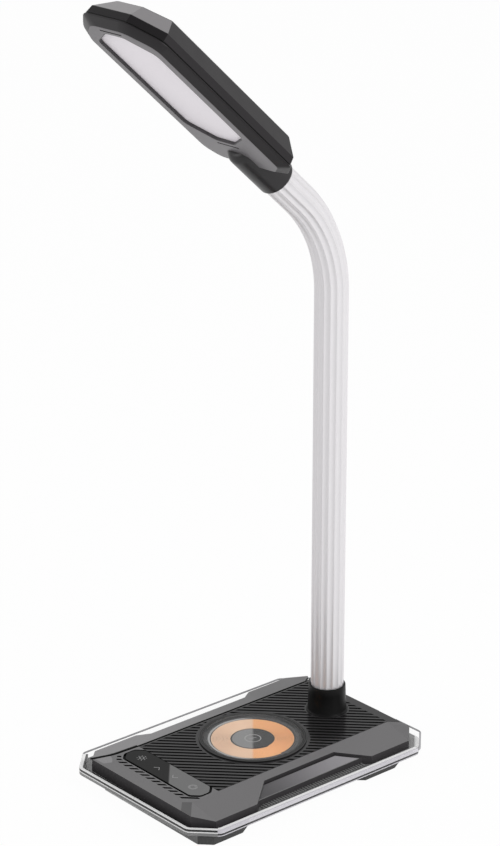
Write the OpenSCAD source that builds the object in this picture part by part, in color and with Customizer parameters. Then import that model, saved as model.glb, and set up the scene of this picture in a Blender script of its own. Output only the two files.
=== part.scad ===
// Desk lamp with a charging pad in its base: a fluted flexible neck carries a flat lit head.
// Millimetres, +Z up. The origin is on the table, below the centre of the charging coil.
// The neck stands behind the coil on the same X = 0 plane, and the head reaches forward, to -Y.

/* [Base] */
// Offset of the base's centre line from the coil and neck, to the right
base_x = 4.3; // [0:0.1:6]
// Distance from the coil's centre back to the base's middle (negative is forward)
base_y = -3.9; // [-6:0.1:0]
// Width of the black deck
deck_w = 104.7; // [102:0.1:110]
// Length of the black deck
deck_l = 161.2; // [158:0.1:170]
// Corner cut of the deck
deck_cut = 9.4; // [7:0.1:11]
// Height of the deck's flat top above the table
deck_top = 15.4; // [15:0.1:18]
// Height of the right wing's outer edge
wing_edge_z = 12.9; // [12.4:0.1:13.4]
// Height of the left wing's outer edge
left_edge_z = 13.6; // [12.4:0.1:14]
// Height of the joint between the deck's frame and its top pieces
frame_top = 12; // [11.8:0.1:12.2]
// Depth of the long notch in the deck's right side
notch_d = 3.4; // [2:0.1:4.5]
// Depth of the long notch in the deck's left side
left_notch_d = 4.8; // [2:0.1:5.5]
// Front end of the side notches
notch_front = -46; // [-50:1:-42]
// Rear end of the side notches
notch_rear = 38.4; // [34.4:1:42.4]
// Wall thickness of the deck's frame
frame_wall = 2.2; // [1.6:0.1:2.8]

/* [Clear tray] */
// Distance by which the clear tray stands out on each long side of the deck
tray_side = 7.15; // [6:0.05:9]
// Distance by which the clear tray stands out in front of the deck
tray_front = 5.1; // [4.4:0.1:9]
// Distance by which the clear tray stands out behind the deck
tray_rear = 7.4; // [5:0.1:9]
// Corner cut of the clear tray
tray_cut = 14.4; // [11:0.1:15.4]
// Height of the tray's rim above the table
tray_rim_z = 10.5; // [9.5:0.1:11]
// Height of the tray's underside above the table
tray_low_z = 6.5; // [6:0.1:6.8]
// Width of the tray's rim
rim_w = 3.2; // [2.4:0.1:3.4]
// Thickness of the tray's floor
tray_floor = 1.6; // [1.4:0.1:1.8]

/* [Ribbed panel] */
// Left edge of the ribbed panel, as a share of the deck's width from its centre line
panel_share_left = 0.36; // [0.356:0.001:0.37]
// Right edge of the ribbed panel, as a share of the deck's width from its centre line
panel_share_right = 0.298; // [0.292:0.001:0.31]
// Width of the groove between the ribbed panel and the left wing
panel_groove = 1.4; // [1:0.1:2]
// Front edge of the ribbed panel
panel_front = -55.2; // [-55.6:0.1:-54.8]
// Thickness of the panels' skin
skin = 1.6; // [1.4:0.1:1.8]
// Pitch of the slanted grooves, square to them
rib_pitch = 3.44; // [3:0.01:4.5]
// Width of one groove
rib_groove = 1.3; // [0.8:0.1:1.6]
// Depth of one groove
rib_depth = 0.8; // [0.4:0.1:1]
// Shift of the groove pattern across itself
rib_shift = 2.88; // [0:0.01:3.6]

/* [Charging coil] */
// Outer diameter of the copper winding
coil_d = 48; // [46:0.5:48]
// Inner diameter of the copper winding
coil_hole = 25; // [24:0.5:26]
// Turns of the winding
coil_turns = 11; // [8:1:11]
// Diameter of the winding's wire
wire_d = 0.56; // [0.4:0.01:0.56]
// Diameter of the ring around the clear window
ring_d = 61; // [60:0.5:62]
// Width of the ring around the clear window
ring_band = 2.5; // [2:0.1:3]
// Height of the ring and window above the deck
ring_rise = 1; // [0.6:0.1:1.2]

/* [Touch strip] */
// Distance of the touch strip's ends from the ribbed panel's sides
touch_in = 2; // [1.8:0.1:4]
// Width of the touch strip
touch_l = 15; // [12:0.1:15]
// Corner cut of the touch strip
touch_cut = 4.4; // [3:0.1:5]
// Distance from the coil's centre forward to the strip's middle
touch_y = 63.1; // [63:0.1:64]

/* [Neck] */
// Distance from the coil's centre back to the neck
neck_y = 56.4; // [54:0.1:58]
// Outside diameter of the fluted sleeve
neck_d = 18.9; // [18.5:0.1:19.5]
// Inside diameter of the sleeve
sleeve_bore = 15.2; // [15:0.1:15.4]
// Number of flutes around the sleeve
flutes = 16; // [12:1:20]
// Depth of one flute
flute_depth = 0.7; // [0.4:0.05:0.8]
// Width of one flute
flute_w = 3.1; // [2:0.1:3.2]
// Height at which the neck starts to bend
bend_z = 266.7; // [262:0.1:275]
// Radius of the bend
bend_r = 76.9; // [70:0.1:90]
// Angle of the bend from upright
bend_angle = 47.5; // [40:0.5:55]
// Height of the lowest flexing point
first_joint_z = 60; // [55:1:65]
// Distance between flexing points in the straight part
joint_step = 35; // [34:0.5:36]
// Gap between two sleeve links
link_gap = 2.6; // [2.4:0.1:3]
// Height of the collar around the neck's foot
collar_h = 16.3; // [14:0.1:18]
// Diameter of the collar at its top
collar_top_d = 21.2; // [21:0.1:22]
// Diameter of the collar at its foot
collar_foot_d = 22.4; // [22:0.1:24]

/* [Head] */
// Width of the head
head_w = 68.6; // [64:0.1:74]
// Length of the head
head_l = 133.6; // [128:0.1:140]
// Corner cut at the tip, along the head
tip_cut_l = 12.2; // [10:0.1:15]
// Corner cut at the tip, across the head
tip_cut_w = 18.2; // [14:0.1:20]
// Corner cut at the neck end, along the head
heel_cut_l = 10; // [8:0.1:12]
// Corner cut at the neck end, across the head
heel_cut_w = 10; // [8:0.1:12]
// Height of the parting groove above the lit face
belt_n = 3.8; // [3.6:0.1:4.4]
// Height of the cover's upright band above the lit face
band_n = 8.85; // [8:0.05:9.5]
// Thickness of the head
head_t = 17.9; // [17.6:0.1:20]
// Slope of the bezel's sides, from its lit face out to the parting groove
bezel_in = 5.7; // [4:0.1:6]
// Slope of the cover's sides, from the band in to its flat top
cover_in = 9.4; // [8:0.1:11]
// Length of the lit opening
lit_l = 95.3; // [90:0.1:98]
// Width of the lit opening
lit_w = 44.9; // [40:0.1:46]
// Depth of the diffuser below the bezel's face
lit_depth = 1.7; // [1.5:0.1:2]
// Distance of the neck's axis above the lit face
neck_n = 5.7; // [5.5:0.1:6]
// Diameter of the socket that holds the neck's end
socket_d = 21; // [20.8:0.1:21.4]
// Length of the socket
socket_l = 33; // [32:0.5:35]
// Distance of the head's screws from its ends
head_screw_in = 22; // [20:0.5:24]

/* [Feet and cover] */
// Distance of the feet from the tray's edge
foot_in = 6; // [5:0.1:7]
// Width of a foot
foot_w = 9; // [7:0.5:10]
// Distance of the front foot's left end from the deck's left side
foot_start = 19.6; // [16:0.1:30]
// Reach of the front foot's arm back from the tray's front edge
foot_arm = 40.5; // [36:0.5:50]
// Corner cut of the front foot
foot_cut = 6.3; // [5:0.1:9]
// Gap between the feet and the under cover
foot_gap = 0.5; // [0.3:0.1:2]
// Height of the under cover's underside above the table
cover_z = 2; // [1.5:0.1:2.2]
// Thickness of the steel weight
weight_t = 2.8; // [2:0.1:2.8]
// Distance of the feet's ends from the tray's ends
foot_end = 19.6; // [16:0.1:24]
// Length of a side foot
foot_l = 36.4; // [24:0.1:40]
// Distance of the base screws from the deck's long sides
screw_side = 19.4; // [18:0.1:21]
// Distance of the base screws from the deck's ends
screw_end = 22.6; // [21:0.1:24]
// Diameter of the base screws' shank
screw_d = 2.9; // [2.4:0.1:2.9]
// Diameter of the base screws' head
screw_head_d = 5.6; // [5:0.1:5.8]

/* [Hidden] */
$fn = 64;
eps = 0.01;
fit = 0.15;

// Deck outline and levels
tray_w = deck_w + 2 * tray_side;
tray_l = deck_l + tray_front + tray_rear;
tray_y = base_y + (tray_rear - tray_front) / 2;
deck_x0 = base_x - deck_w / 2;
deck_x1 = base_x + deck_w / 2;
tray_y0 = tray_y - tray_l / 2;
tray_y1 = tray_y + tray_l / 2;
under_in = foot_in + foot_w + foot_gap;
deck_y0 = base_y - deck_l / 2;
deck_y1 = base_y + deck_l / 2;
floor_z = tray_low_z + tray_floor;
board_z = floor_z + 0.5;
board_t = 1.2;
board_x = coil_d / 2 + 3;
board_front = coil_d / 2 + 2;
board_rear = neck_y - 16.4;
panel_left = base_x - panel_share_left * deck_w;
panel_right = base_x + panel_share_right * deck_w;
wing_left = panel_left - panel_groove;
touch_w = panel_right - panel_left - 2 * touch_in;
touch_x = (panel_left + panel_right) / 2;
touch_seat = 0.4;
rear_in = 6;
plate_in = panel_right + 7.1;
plate_slope = 1.2255;
plate_drop = 0.9;

// Coil stack, from the window down
window_t = 1.2;
window_d = ring_d - 2 * ring_band;
window_top = deck_top + ring_rise;
coil_pitch = (coil_d - coil_hole) / 2 / coil_turns;
coil_z = window_top - window_t - 0.1 - wire_d / 2;
ferrite_t = 0.6;
ferrite_z = coil_z - wire_d / 2 - ferrite_t;
carrier_t = 1;
carrier_z = ferrite_z - carrier_t;
lead_hole = 2.6;

// Power inlet, in the deck's rear wall
inlet_x = 22;
inlet_z = board_z + board_t + 1.45;

// Neck
head_recess = 1.7;
flute_r = (flute_w * flute_w / 4 + flute_depth * flute_depth) / (2 * flute_depth);
hose_r = 5.4;
ball_r = 5;
cup_r = 7.2;
cup_clear = 0.3;
hose_bore_r = 2.2;
sleeve_foot_z = deck_top + 1.2;
JOINTS = [for (k = [0:5]) [0, neck_y, first_joint_z + joint_step * k]];
mid_angle = bend_angle / 2;
bend_mid = [0, neck_y - bend_r * (1 - cos(mid_angle)), bend_z + bend_r * sin(mid_angle)];
bend_end = [0, neck_y - bend_r * (1 - cos(bend_angle)), bend_z + bend_r * sin(bend_angle)];

// Head: local x across, local y back towards the neck, local z away from the lit face.
// The neck's axis meets the head's heel plane at local [0, 0, neck_n].
straight_l = 36.8;
socket_out = 15.7;
lit_heel = 26.7;
shell_t = 1.5;
post_d = 5;
post_h = band_n + 3 - lit_depth - shell_t;
screw_pts = [for (x = [-1, 1], y = [-1, 1])
    [base_x + x * (deck_w / 2 - screw_side), base_y + y * (deck_l / 2 - screw_end)]];

function octagon(w, l, cx, cy) = [
    [w / 2 - cx, -l / 2], [w / 2, -l / 2 + cy], [w / 2, l / 2 - cy], [w / 2 - cx, l / 2],
    [-w / 2 + cx, l / 2], [-w / 2, l / 2 - cy], [-w / 2, -l / 2 + cy], [-w / 2 + cx, -l / 2]
];

module cut_rect(w, l, c) {
    polygon(octagon(w, l, c, c));
}

// A plan outline pulled in by d keeps its corner cuts parallel.
module cut_plan(y, w, l, c, d) {
    translate([base_x, y]) cut_rect(w - 2 * d, l - 2 * d, max(0.5, c - d * (2 - sqrt(2))));
}

module tray_plan(d) {
    cut_plan(tray_y, tray_w, tray_l, tray_cut, d);
}

// Depth of a side's notch, and the length of its slanted ends
function notch_depth(side) = side > 0 ? notch_d : left_notch_d;
function notch_run(side) = notch_depth(side) * (side > 0 ? 1.3 : 1.5);

module notch(side, d) {
    x = side * (deck_w / 2 + 1);
    inner = x - side * (1 + notch_depth(side));
    run = notch_run(side) + d;
    translate([base_x, 0]) polygon([
        [x, notch_front - 1], [x - side, notch_front],
        [inner, notch_front + run], [inner, notch_rear - run],
        [x - side, notch_rear], [x, notch_rear + 1]
    ]);
}

module deck_outline(d) {
    difference() {
        cut_plan(base_y, deck_w, deck_l, deck_cut, d);
        translate([-d, 0]) notch(1, d);
        translate([d, 0]) notch(-1, d);
    }
}

// A solid whose top is one flat facet and whose foot is level at z0.
// The facet's corners run clockwise, seen from above.
module facet_prism(top, z0) {
    n = len(top);
    foot = [for (p = top) [p.x, p.y, z0]];
    polyhedron(
        points = concat(top, foot),
        faces = concat(
            [[for (i = [0:n - 1]) i]], [[for (i = [n - 1:-1:0]) n + i]],
            [for (i = [0:n - 1]) [(i + 1) % n, i, n + i, n + (i + 1) % n]]
        )
    );
}

// ---------------------------------------------------------------- base, below the deck

module clear_tray() {
    color([0.85, 0.88, 0.9, 0.45]) difference() {
        translate([0, 0, tray_low_z]) linear_extrude(tray_rim_z - tray_low_z) tray_plan(0);
        translate([0, 0, floor_z]) linear_extrude(tray_rim_z) tray_plan(rim_w);
        for (p = screw_pts) translate([p.x, p.y, tray_low_z - 1]) cylinder(d = 3.4, h = 4);
        // Way in for the plug, at the back
        translate([inlet_x - 7, deck_y1, floor_z]) cube([14, 20, tray_rim_z]);
    }
}

module under_cover() {
    h = tray_low_z - cover_z;
    color([0.1, 0.1, 0.11]) difference() {
        translate([0, 0, cover_z]) linear_extrude(h) tray_plan(under_in);
        translate([0, 0, cover_z + 1.2]) linear_extrude(h) tray_plan(under_in + 1.6);
        for (p = screw_pts) translate([p.x, p.y, cover_z - 1]) cylinder(d = 8, h = 4);
    }
    color([0.1, 0.1, 0.11]) for (p = screw_pts) translate([p.x, p.y, cover_z]) difference() {
        cylinder(d = 9, h = h);
        translate([0, 0, -1]) cylinder(d = 3.4, h = h + 2);
        translate([0, 0, -1]) cylinder(d = 6.2, h = 1 + head_recess);
    }
}

module weight_plate() {
    color([0.55, 0.56, 0.58]) difference() {
        translate([0, 0, cover_z + 1.2]) linear_extrude(weight_t) tray_plan(under_in + 1.8);
        for (p = screw_pts) translate([p.x, p.y, 0]) cylinder(d = 10, h = 10);
    }
}

// Each foot is a bar with slanted ends, pulled in from the tray's edge.
module foot_bar(y0, y1, side) {
    x1 = side * (tray_w / 2 - foot_in);
    x0 = x1 - side * foot_w;
    translate([base_x, 0, 0]) linear_extrude(tray_low_z)
        polygon([
            [x0, y0], [x1 - side * 4.5, y0], [x1, y0 + 5], [x1, y1 - 9], [x1 - side * 4.5, y1], [x0, y1]
        ]);
}

module front_foot() {
    left = deck_x0 + foot_start;
    right = base_x + tray_w / 2 - foot_in;
    back = tray_y0 + foot_arm;
    inner = tray_y0 + foot_in + foot_w + 6;
    cut = foot_cut + foot_in * (2 - sqrt(2));
    color([0.2, 0.2, 0.21]) linear_extrude(tray_low_z) intersection() {
        difference() {
            cut_plan(tray_y, tray_w, tray_l, cut, foot_in);
            cut_plan(tray_y, tray_w, tray_l, cut, foot_in + foot_w);
        }
        polygon([
            [left, -200], [left, tray_y0 + 7.9], [left + 5, inner], [right - 20, inner],
            [right - 20, back], [right - 4.6, back],
            [right, back - 8], [200, back - 8], [200, -200]
        ]);
    }
}

module front_left_foot() {
    color([0.2, 0.2, 0.21]) foot_bar(tray_y0 + foot_end, tray_y0 + foot_end + foot_l, -1);
}

module rear_left_foot() {
    color([0.2, 0.2, 0.21]) foot_bar(tray_y1 - foot_end - foot_l, tray_y1 - foot_end, -1);
}

module rear_right_foot() {
    color([0.2, 0.2, 0.21]) foot_bar(tray_y1 - foot_end - foot_l, tray_y1 - foot_end, 1);
}

module base_screws() {
    color([0.6, 0.6, 0.62]) for (p = screw_pts) translate([p.x, p.y, cover_z]) difference() {
        union() {
            translate([0, 0, 0.2]) cylinder(d = screw_head_d, h = head_recess - 0.2);
            cylinder(d = screw_d, h = frame_top - cover_z - 1);
        }
        translate([0, 0, -1]) cylinder(d = 2, h = 2, $fn = 6);
    }
}

// ---------------------------------------------------------------- deck

module deck_frame() {
    h = frame_top - floor_z;
    color([0.12, 0.12, 0.13]) difference() {
        union() {
            translate([0, 0, floor_z]) linear_extrude(h) difference() {
                deck_outline(0);
                deck_outline(frame_wall);
            }
            translate([0, 0, frame_top - 1.4]) linear_extrude(1.4) difference() {
                deck_outline(1);
                translate([panel_left + 3, panel_front + 3])
                    square([panel_right - panel_left - 6, deck_y1 - panel_front - 6]);
                translate([panel_left + 3, -touch_y - 4]) square([panel_right - panel_left - 6, 8]);
            }
            for (p = screw_pts) translate([p.x, p.y, floor_z]) cylinder(d = 7, h = h);
            // Bridge that carries the neck
            translate([-15, neck_y - 13, floor_z]) cube([30, 26, 1]);
            for (x = [-15, 13.4]) translate([x, neck_y - 13, floor_z]) cube([1.6, deck_y1 - neck_y + 12, h]);
        }
        for (p = screw_pts) translate([p.x, p.y, floor_z - 1]) cylinder(d = 3, h = h + 0.4);
        translate([inlet_x, deck_y1, inlet_z]) inlet_hole(6);
        translate([0, neck_y, floor_z - 1]) cylinder(r = hose_r + fit, h = 10);
    }
}

// The inlet's opening through the rear wall: a flat slot with round ends.
module inlet_hole(depth) {
    rotate([90, 0, 0]) translate([0, 0, -depth / 2]) {
        for (x = [-1, 1]) translate([x * 2.95, 0, 0]) cylinder(d = 3.5, h = depth);
        translate([-2.95, -1.75, 0]) cube([5.9, 3.5, depth]);
    }
}

module rib_pattern(x0, x1) {
    n = 40;
    intersection() {
        for (k = [-n:n]) rotate(45) translate([-150, k * rib_pitch + rib_shift - rib_groove / 2])
            square([300, rib_groove]);
        translate([x0, -200]) square([x1 - x0, 400]);
    }
}

module panel_plan() {
    polygon([
        [panel_left, panel_front], [panel_right, panel_front], [panel_right, deck_y1 - rear_in],
        [panel_right + rear_in, deck_y1], [panel_left - 3, deck_y1], [panel_left, deck_y1 - rear_in]
    ]);
}

module ribbed_panel() {
    h = deck_top - frame_top;
    color([0.16, 0.16, 0.17]) difference() {
        translate([0, 0, frame_top]) linear_extrude(h) panel_plan();
        // Hollow under the skin
        translate([panel_left + 1.6, panel_front + 1.6, frame_top - 1])
            cube([panel_right - panel_left - 3.2, deck_y1 - panel_front - 4, 1 + h - skin]);
        // Slanted grooves, kept clear of the coil's ring and the neck's collar
        translate([0, 0, deck_top - rib_depth]) linear_extrude(2) difference() {
            intersection() {
                rib_pattern(panel_left + 1, panel_right - 0.4);
                translate([-100, panel_front - 1]) square([200, 126.4]);
            }
            circle(d = ring_d + 3.4);
            translate([0, neck_y]) circle(d = collar_foot_d + 3);
        }
        translate([0, 0, frame_top - 1]) cylinder(d = ring_d - 3, h = 10);
        translate([0, neck_y, frame_top - 1]) cylinder(r = hose_r + fit, h = 10);
        translate([inlet_x, deck_y1, inlet_z]) inlet_hole(6);
    }
}

// Corners of the wings' facets: the crease, its front corner and the outer edge
function crease(side, end) = [
    side > 0 ? panel_right : wing_left, end < 0 ? deck_y0 + 10.5 : deck_y1 - rear_in, deck_top
];
function corner(side, end) = [
    base_x + side * (deck_w / 2 - deck_cut), end < 0 ? deck_y0 : deck_y1, deck_top
];
function edge(side, end) = [
    base_x + side * deck_w / 2, end < 0 ? deck_y0 + deck_cut : deck_y1 - deck_cut,
    side > 0 ? wing_edge_z : left_edge_z
];

// The groove between the left wing and its neighbours swings outward towards the front.
// This is the line of either of its edges, from one that lies at x.
function groove_line(x) = [
    [x, panel_front - 0.1], [x - 0.7, deck_y0 + 14.5], [x - 1.4, deck_y0 + 10.3], [x - 4.7, deck_y0]
];

// A wing slopes down to its outer edge and has a three-cornered facet at each end.
module wing_body(side) {
    slope = side > 0
        ? [crease(1, -1), crease(1, 1), edge(1, 1), edge(1, -1)]
        : [crease(-1, 1), crease(-1, -1), edge(-1, -1), edge(-1, 1)];
    intersection() {
        translate([0, 0, frame_top]) linear_extrude(10) deck_outline(0);
        union() {
            facet_prism(slope, frame_top);
            for (end = [-1, 1]) {
                a = crease(side, end);
                b = corner(side, end);
                c = edge(side, end);
                facet_prism(side * end > 0 ? [a, b, c] : [a, c, b], frame_top);
            }
        }
    }
}

module left_wing() {
    color([0.3, 0.3, 0.31]) difference() {
        wing_body(-1);
        translate([0, 0, frame_top - 1]) linear_extrude(10) polygon(concat(
            groove_line(wing_left), [[wing_left - 5, deck_y0 - 1], [0, deck_y0 - 1], [0, panel_front]]
        ));
    }
}

// Plan of the sunk plate in the right wing. Its front line rises to the notch's front corner and
// its rear line to the notch's rear corner; d widens it on its inner and rear sides.
module plate_plan(d) {
    x0 = plate_in - d;
    x1 = deck_x1 + 1;
    front_y = notch_front - 0.24;
    rear_y = notch_rear - 1.45 + d * sqrt(2);
    polygon([
        [x0, front_y + plate_slope * (deck_x1 - x0)], [x1, front_y - plate_slope],
        [x1, rear_y + 1], [x0, rear_y - (deck_x1 - x0)]
    ]);
}

// Plan of the row of slots around the touch strip's front: short at its left corner, and with
// one long slot beside its right corner
module slot_row() {
    y0 = deck_y0 + 9;
    y1 = y0 + 3.4;
    left = touch_x - touch_w / 2;
    right = touch_x + touch_w / 2;
    polygon([
        [left - 2.7, y0 + 5.5], [left + 3.3, y0], [right - 4.1, y0], [right + 3.2, y0 + 7.3],
        [right + 0.3, y0 + 7.3], [right - 3.6, y1], [left + 3.6, y1], [left - 0.7, y0 + 6.9]
    ]);
}

module front_wing() {
    color([0.24, 0.24, 0.25]) difference() {
        union() {
            wing_body(1);
            translate([0, 0, frame_top]) linear_extrude(deck_top - frame_top) polygon(concat(
                groove_line(panel_left),
                [
                    [corner(1, -1).x, deck_y0], [panel_right + eps, deck_y0 + 10.5],
                    [panel_right + eps, panel_front - 0.1]
                ]
            ));
            translate([0, 0, frame_top]) linear_extrude(deck_top - frame_top) polygon([
                [panel_right, deck_y1 - rear_in], [panel_right + rear_in, deck_y1], [corner(1, 1).x, deck_y1]
            ]);
        }
        // Seat of the side plate, with its shadow gap
        translate([0, 0, frame_top - 1]) linear_extrude(10) plate_plan(1);
        translate([0, 0, deck_top - rib_depth]) linear_extrude(2) intersection() {
            rib_pattern(panel_left + 1, panel_right - 0.2);
            slot_row();
        }
        // Seat of the touch strip and the space for its board
        translate([touch_x, -touch_y, deck_top - 1])
            linear_extrude(5) cut_rect(touch_w + 2 * touch_seat, touch_l + 2 * touch_seat, touch_cut);
        translate([touch_x, -touch_y, frame_top - 1])
            linear_extrude(10) cut_rect(touch_w - 3, touch_l - 3, touch_cut);
    }
}

module side_plate() {
    slope = [crease(1, -1), crease(1, 1), edge(1, 1), edge(1, -1)];
    color([0.22, 0.22, 0.23]) intersection() {
        translate([0, 0, -plate_drop]) facet_prism(slope, frame_top + plate_drop);
        translate([0, 0, frame_top]) linear_extrude(10) intersection() {
            plate_plan(-1);
            deck_outline(0);
        }
    }
}

// Serrated ledge in each side notch, below the wing's edge
module side_grips() {
    color([0.2, 0.2, 0.21]) for (side = [-1, 1]) side_grip(side);
}

module side_grip(side) {
    tooth = 1.9;
    depth = notch_depth(side);
    y0 = notch_front + notch_run(side) + 0.6;
    n = floor((notch_rear - notch_front - 2 * notch_run(side) - 1.2) / tooth);
    translate([base_x + side * (deck_w / 2 - depth), y0, floor_z]) mirror([side > 0 ? 0 : 1, 0, 0])
        difference() {
            cube([depth - 0.2, n * tooth, 1]);
            for (k = [0:n - 1]) translate([1, k * tooth + 0.6, 0.4]) cube([depth, 0.8, 2]);
        }
}

// ---------------------------------------------------------------- touch strip and boards

module touch_strip() {
    color([0.08, 0.08, 0.09]) translate([touch_x, -touch_y, deck_top - 1])
        linear_extrude(1.2) cut_rect(touch_w, touch_l, touch_cut);
}

module touch_board() {
    color([0.05, 0.3, 0.15]) translate([touch_x, -touch_y, deck_top - 2.1]) {
        linear_extrude(1.1) cut_rect(touch_w - 4, touch_l - 4, touch_cut - 1);
        for (k = [-1.5:1.5]) translate([k * 15, 0, -0.6]) cylinder(d = 7, h = 0.7);
    }
}

module coil_ring() {
    color([0.1, 0.1, 0.11]) difference() {
        translate([0, 0, carrier_z]) union() {
            cylinder(d = ring_d - 3.3, h = window_top - carrier_z);
            translate([0, 0, deck_top - carrier_z]) cylinder(d = ring_d, h = window_top - deck_top);
        }
        translate([0, 0, window_top - window_t]) cylinder(d = window_d + 0.3, h = 5);
        translate([0, 0, ferrite_z]) cylinder(d = coil_d + 4, h = 10);
        for (r = [coil_d / 2, coil_hole / 2])
            translate([r, 0, carrier_z - 1]) cylinder(d = lead_hole, h = 5, $fn = 24);
    }
}

module coil_window() {
    color([0.3, 0.3, 0.32, 0.4]) translate([0, 0, window_top - window_t])
        cylinder(d = window_d, h = window_t - 0.05);
}

module ferrite_disc() {
    color([0.2, 0.2, 0.2]) translate([0, 0, ferrite_z]) difference() {
        cylinder(d = coil_d + 3.6, h = ferrite_t);
        for (r = [coil_d / 2, coil_hole / 2])
            translate([r, 0, -1]) cylinder(d = lead_hole, h = 5, $fn = 24);
    }
}

module coil_hub() {
    color([0.35, 0.35, 0.37]) translate([0, 0, ferrite_z + ferrite_t])
        cylinder(d = coil_hole - 2.6, h = wire_d + 0.05);
}

// The winding is one flat spiral; both ends turn down, through the ferrite, to the board.
coil_sides = 6;
coil_rings = 24;
lead_foot = board_z + board_t;
coil_r0 = coil_hole / 2;
function coil_r(a) = coil_r0 + coil_pitch * a / 360;
function coil_point(a) = [coil_r(a) * cos(a), coil_r(a) * sin(a), coil_z];
// Angle over which the wire levels out above its hole
lead_turn = 4;
coil_path = concat(
    [[coil_r0, 0, lead_foot], [coil_r0, 0, lead_foot + wire_d], [coil_r0, 0, coil_z - 2 * wire_d],
     [coil_r0, 0.15, coil_z - 0.7 * wire_d], coil_point(lead_turn)],
    [for (k = [1:coil_turns * coil_rings - 1]) coil_point(360 * k / coil_rings)],
    [coil_point(coil_turns * 360 - lead_turn / 2),
     [coil_r(coil_turns * 360), -0.15, coil_z - 0.7 * wire_d],
     [coil_r(coil_turns * 360), 0, coil_z - 2 * wire_d],
     [coil_r(coil_turns * 360), 0, lead_foot + wire_d], [coil_r(coil_turns * 360), 0, lead_foot]]
);
// Least gap between neighbouring turns, measured on the path's points
turn_gaps = [for (k = [5:len(coil_path) - coil_rings - 6])
    norm(coil_path[k + coil_rings] - coil_path[k]) - wire_d];
echo("least gap of the winding", min(turn_gaps));

function unit(v) = v / norm(v);
function tangent(p, i) = unit(p[min(i + 1, len(p) - 1)] - p[max(i - 1, 0)]);

module swept_tube(p, d, sides) {
    n = len(p);
    side_of = [for (i = [0:n - 1]) let (t = tangent(p, i), flat = [0, 1, 0], out = unit([p[i].x, p[i].y, 0]))
        abs(t.z) > 0.5 ? unit(cross(t, cross(unit(cross([0, 0, 1], out)), t))) : unit(cross([0, 0, 1], t))];
    pts = [for (i = [0:n - 1]) let (t = tangent(p, i), s = side_of[i], u = cross(t, s))
        for (k = [0:sides - 1]) p[i] + d / 2 * (cos(360 * k / sides) * s + sin(360 * k / sides) * u)];
    walls = [for (i = [0:n - 2], k = [0:sides - 1]) let (
        a = i * sides + k, b = i * sides + (k + 1) % sides, c = a + sides, e = b + sides
    ) each [[a, b, e], [a, e, c]]];
    last = (n - 1) * sides;
    caps = [for (k = [1:sides - 2]) each [[0, k + 1, k], [last, last + k, last + k + 1]]];
    polyhedron(points = pts, faces = [for (f = concat(walls, caps)) [f[2], f[1], f[0]]]);
}

module charging_coil() {
    color([0.8, 0.5, 0.3]) swept_tube(coil_path, wire_d, coil_sides);
}

module charger_board() {
    tail_w = 10;
    color([0.05, 0.3, 0.15]) {
        translate([-board_x, -board_front, board_z]) cube([2 * board_x, board_front + board_rear, board_t]);
        translate([inlet_x - tail_w / 2, board_rear - 1, board_z])
            cube([tail_w, deck_y1 - board_rear + 1 - frame_wall - 1, board_t]);
        for (p = [[-board_x, -board_front], [board_x - 6, -board_front], [-board_x, board_rear - 6]])
            translate([p.x + 3, p.y + 3, floor_z]) cylinder(d = 3, h = board_z - floor_z);
    }
}

module board_chips() {
    color([0.08, 0.08, 0.08]) translate([0, 0, board_z + board_t]) {
        translate([-6, board_rear - 10, 0]) cube([6, 6, 0.9]);
        translate([6, board_rear - 10, 0]) cube([4, 5, 1.1]);
        for (k = [0:5]) translate([5 - board_x + 4 * k, 4 - board_front, 0]) cube([1.6, 0.9, 0.7]);
        for (k = [0:3]) translate([7 - board_x, board_rear - 14 + 3 * k, 0]) cube([3.2, 1.8, 1.2]);
    }
}

module usb_inlet() {
    color([0.7, 0.7, 0.72]) translate([inlet_x, deck_y1 - 0.4, inlet_z]) difference() {
        union() {
            rotate([90, 0, 0]) {
                for (x = [-1, 1]) translate([x * 2.85, 0, 0]) cylinder(d = 2.9, h = 7.3);
                translate([-2.85, -1.45, 0]) cube([5.7, 2.9, 7.3]);
            }
        }
        rotate([90, 0, 0]) translate([0, 0, -1]) {
            for (x = [-1, 1]) translate([x * 2.85, 0, 0]) cylinder(d = 2.3, h = 6.5);
            translate([-2.85, -1.15, 0]) cube([5.7, 2.3, 6.5]);
        }
    }
    color([0.1, 0.1, 0.1]) translate([inlet_x - 2.4, deck_y1 - 7, inlet_z - 0.35]) cube([4.8, 5.4, 0.7]);
}

// ---------------------------------------------------------------- neck

module fluted_ring() {
    difference() {
        circle(d = neck_d, $fn = 96);
        circle(d = sleeve_bore, $fn = 64);
        for (k = [0:flutes - 1]) rotate((k + 0.5) * 360 / flutes)
            translate([neck_d / 2 - flute_depth + flute_r, 0]) circle(r = flute_r, $fn = 48);
    }
}

// Lower end: a cup around the ball below it. Upper end: the next ball.
module hose_link(z0, z1, cup, ball) {
    difference() {
        union() {
            translate([0, 0, z0 + (cup ? 3 : 0)])
                cylinder(r = hose_r, h = z1 - z0 - (cup ? 3 : 0) - (ball ? 2 : 0));
            if (cup) translate([0, 0, z0 - 1.6]) cylinder(r = cup_r, h = 8.6);
            if (ball) translate([0, 0, z1]) sphere(r = ball_r);
        }
        if (cup) translate([0, 0, z0]) sphere(r = ball_r + cup_clear);
        if (ball) translate([0, 0, z1 + 3.4]) cylinder(r = ball_r, h = 5);
        translate([0, 0, z0 - 10]) cylinder(r = hose_bore_r, h = z1 - z0 + 30);
        // Waist below the ball, so that the next cup can tilt
        if (ball) translate([0, 0, z1 - 9]) difference() {
            cylinder(r = cup_r + 1, h = 9);
            cylinder(r = ball_r - 1.6, h = 9);
            translate([0, 0, 9]) sphere(r = ball_r);
        }
    }
}

module hose_color() {
    color([0.6, 0.61, 0.63]) children();
}

module straight_hose(k) {
    hose_color() translate([0, neck_y, 0]) hose_link(JOINTS[k - 2].z, JOINTS[k - 1].z, true, true);
}

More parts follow.
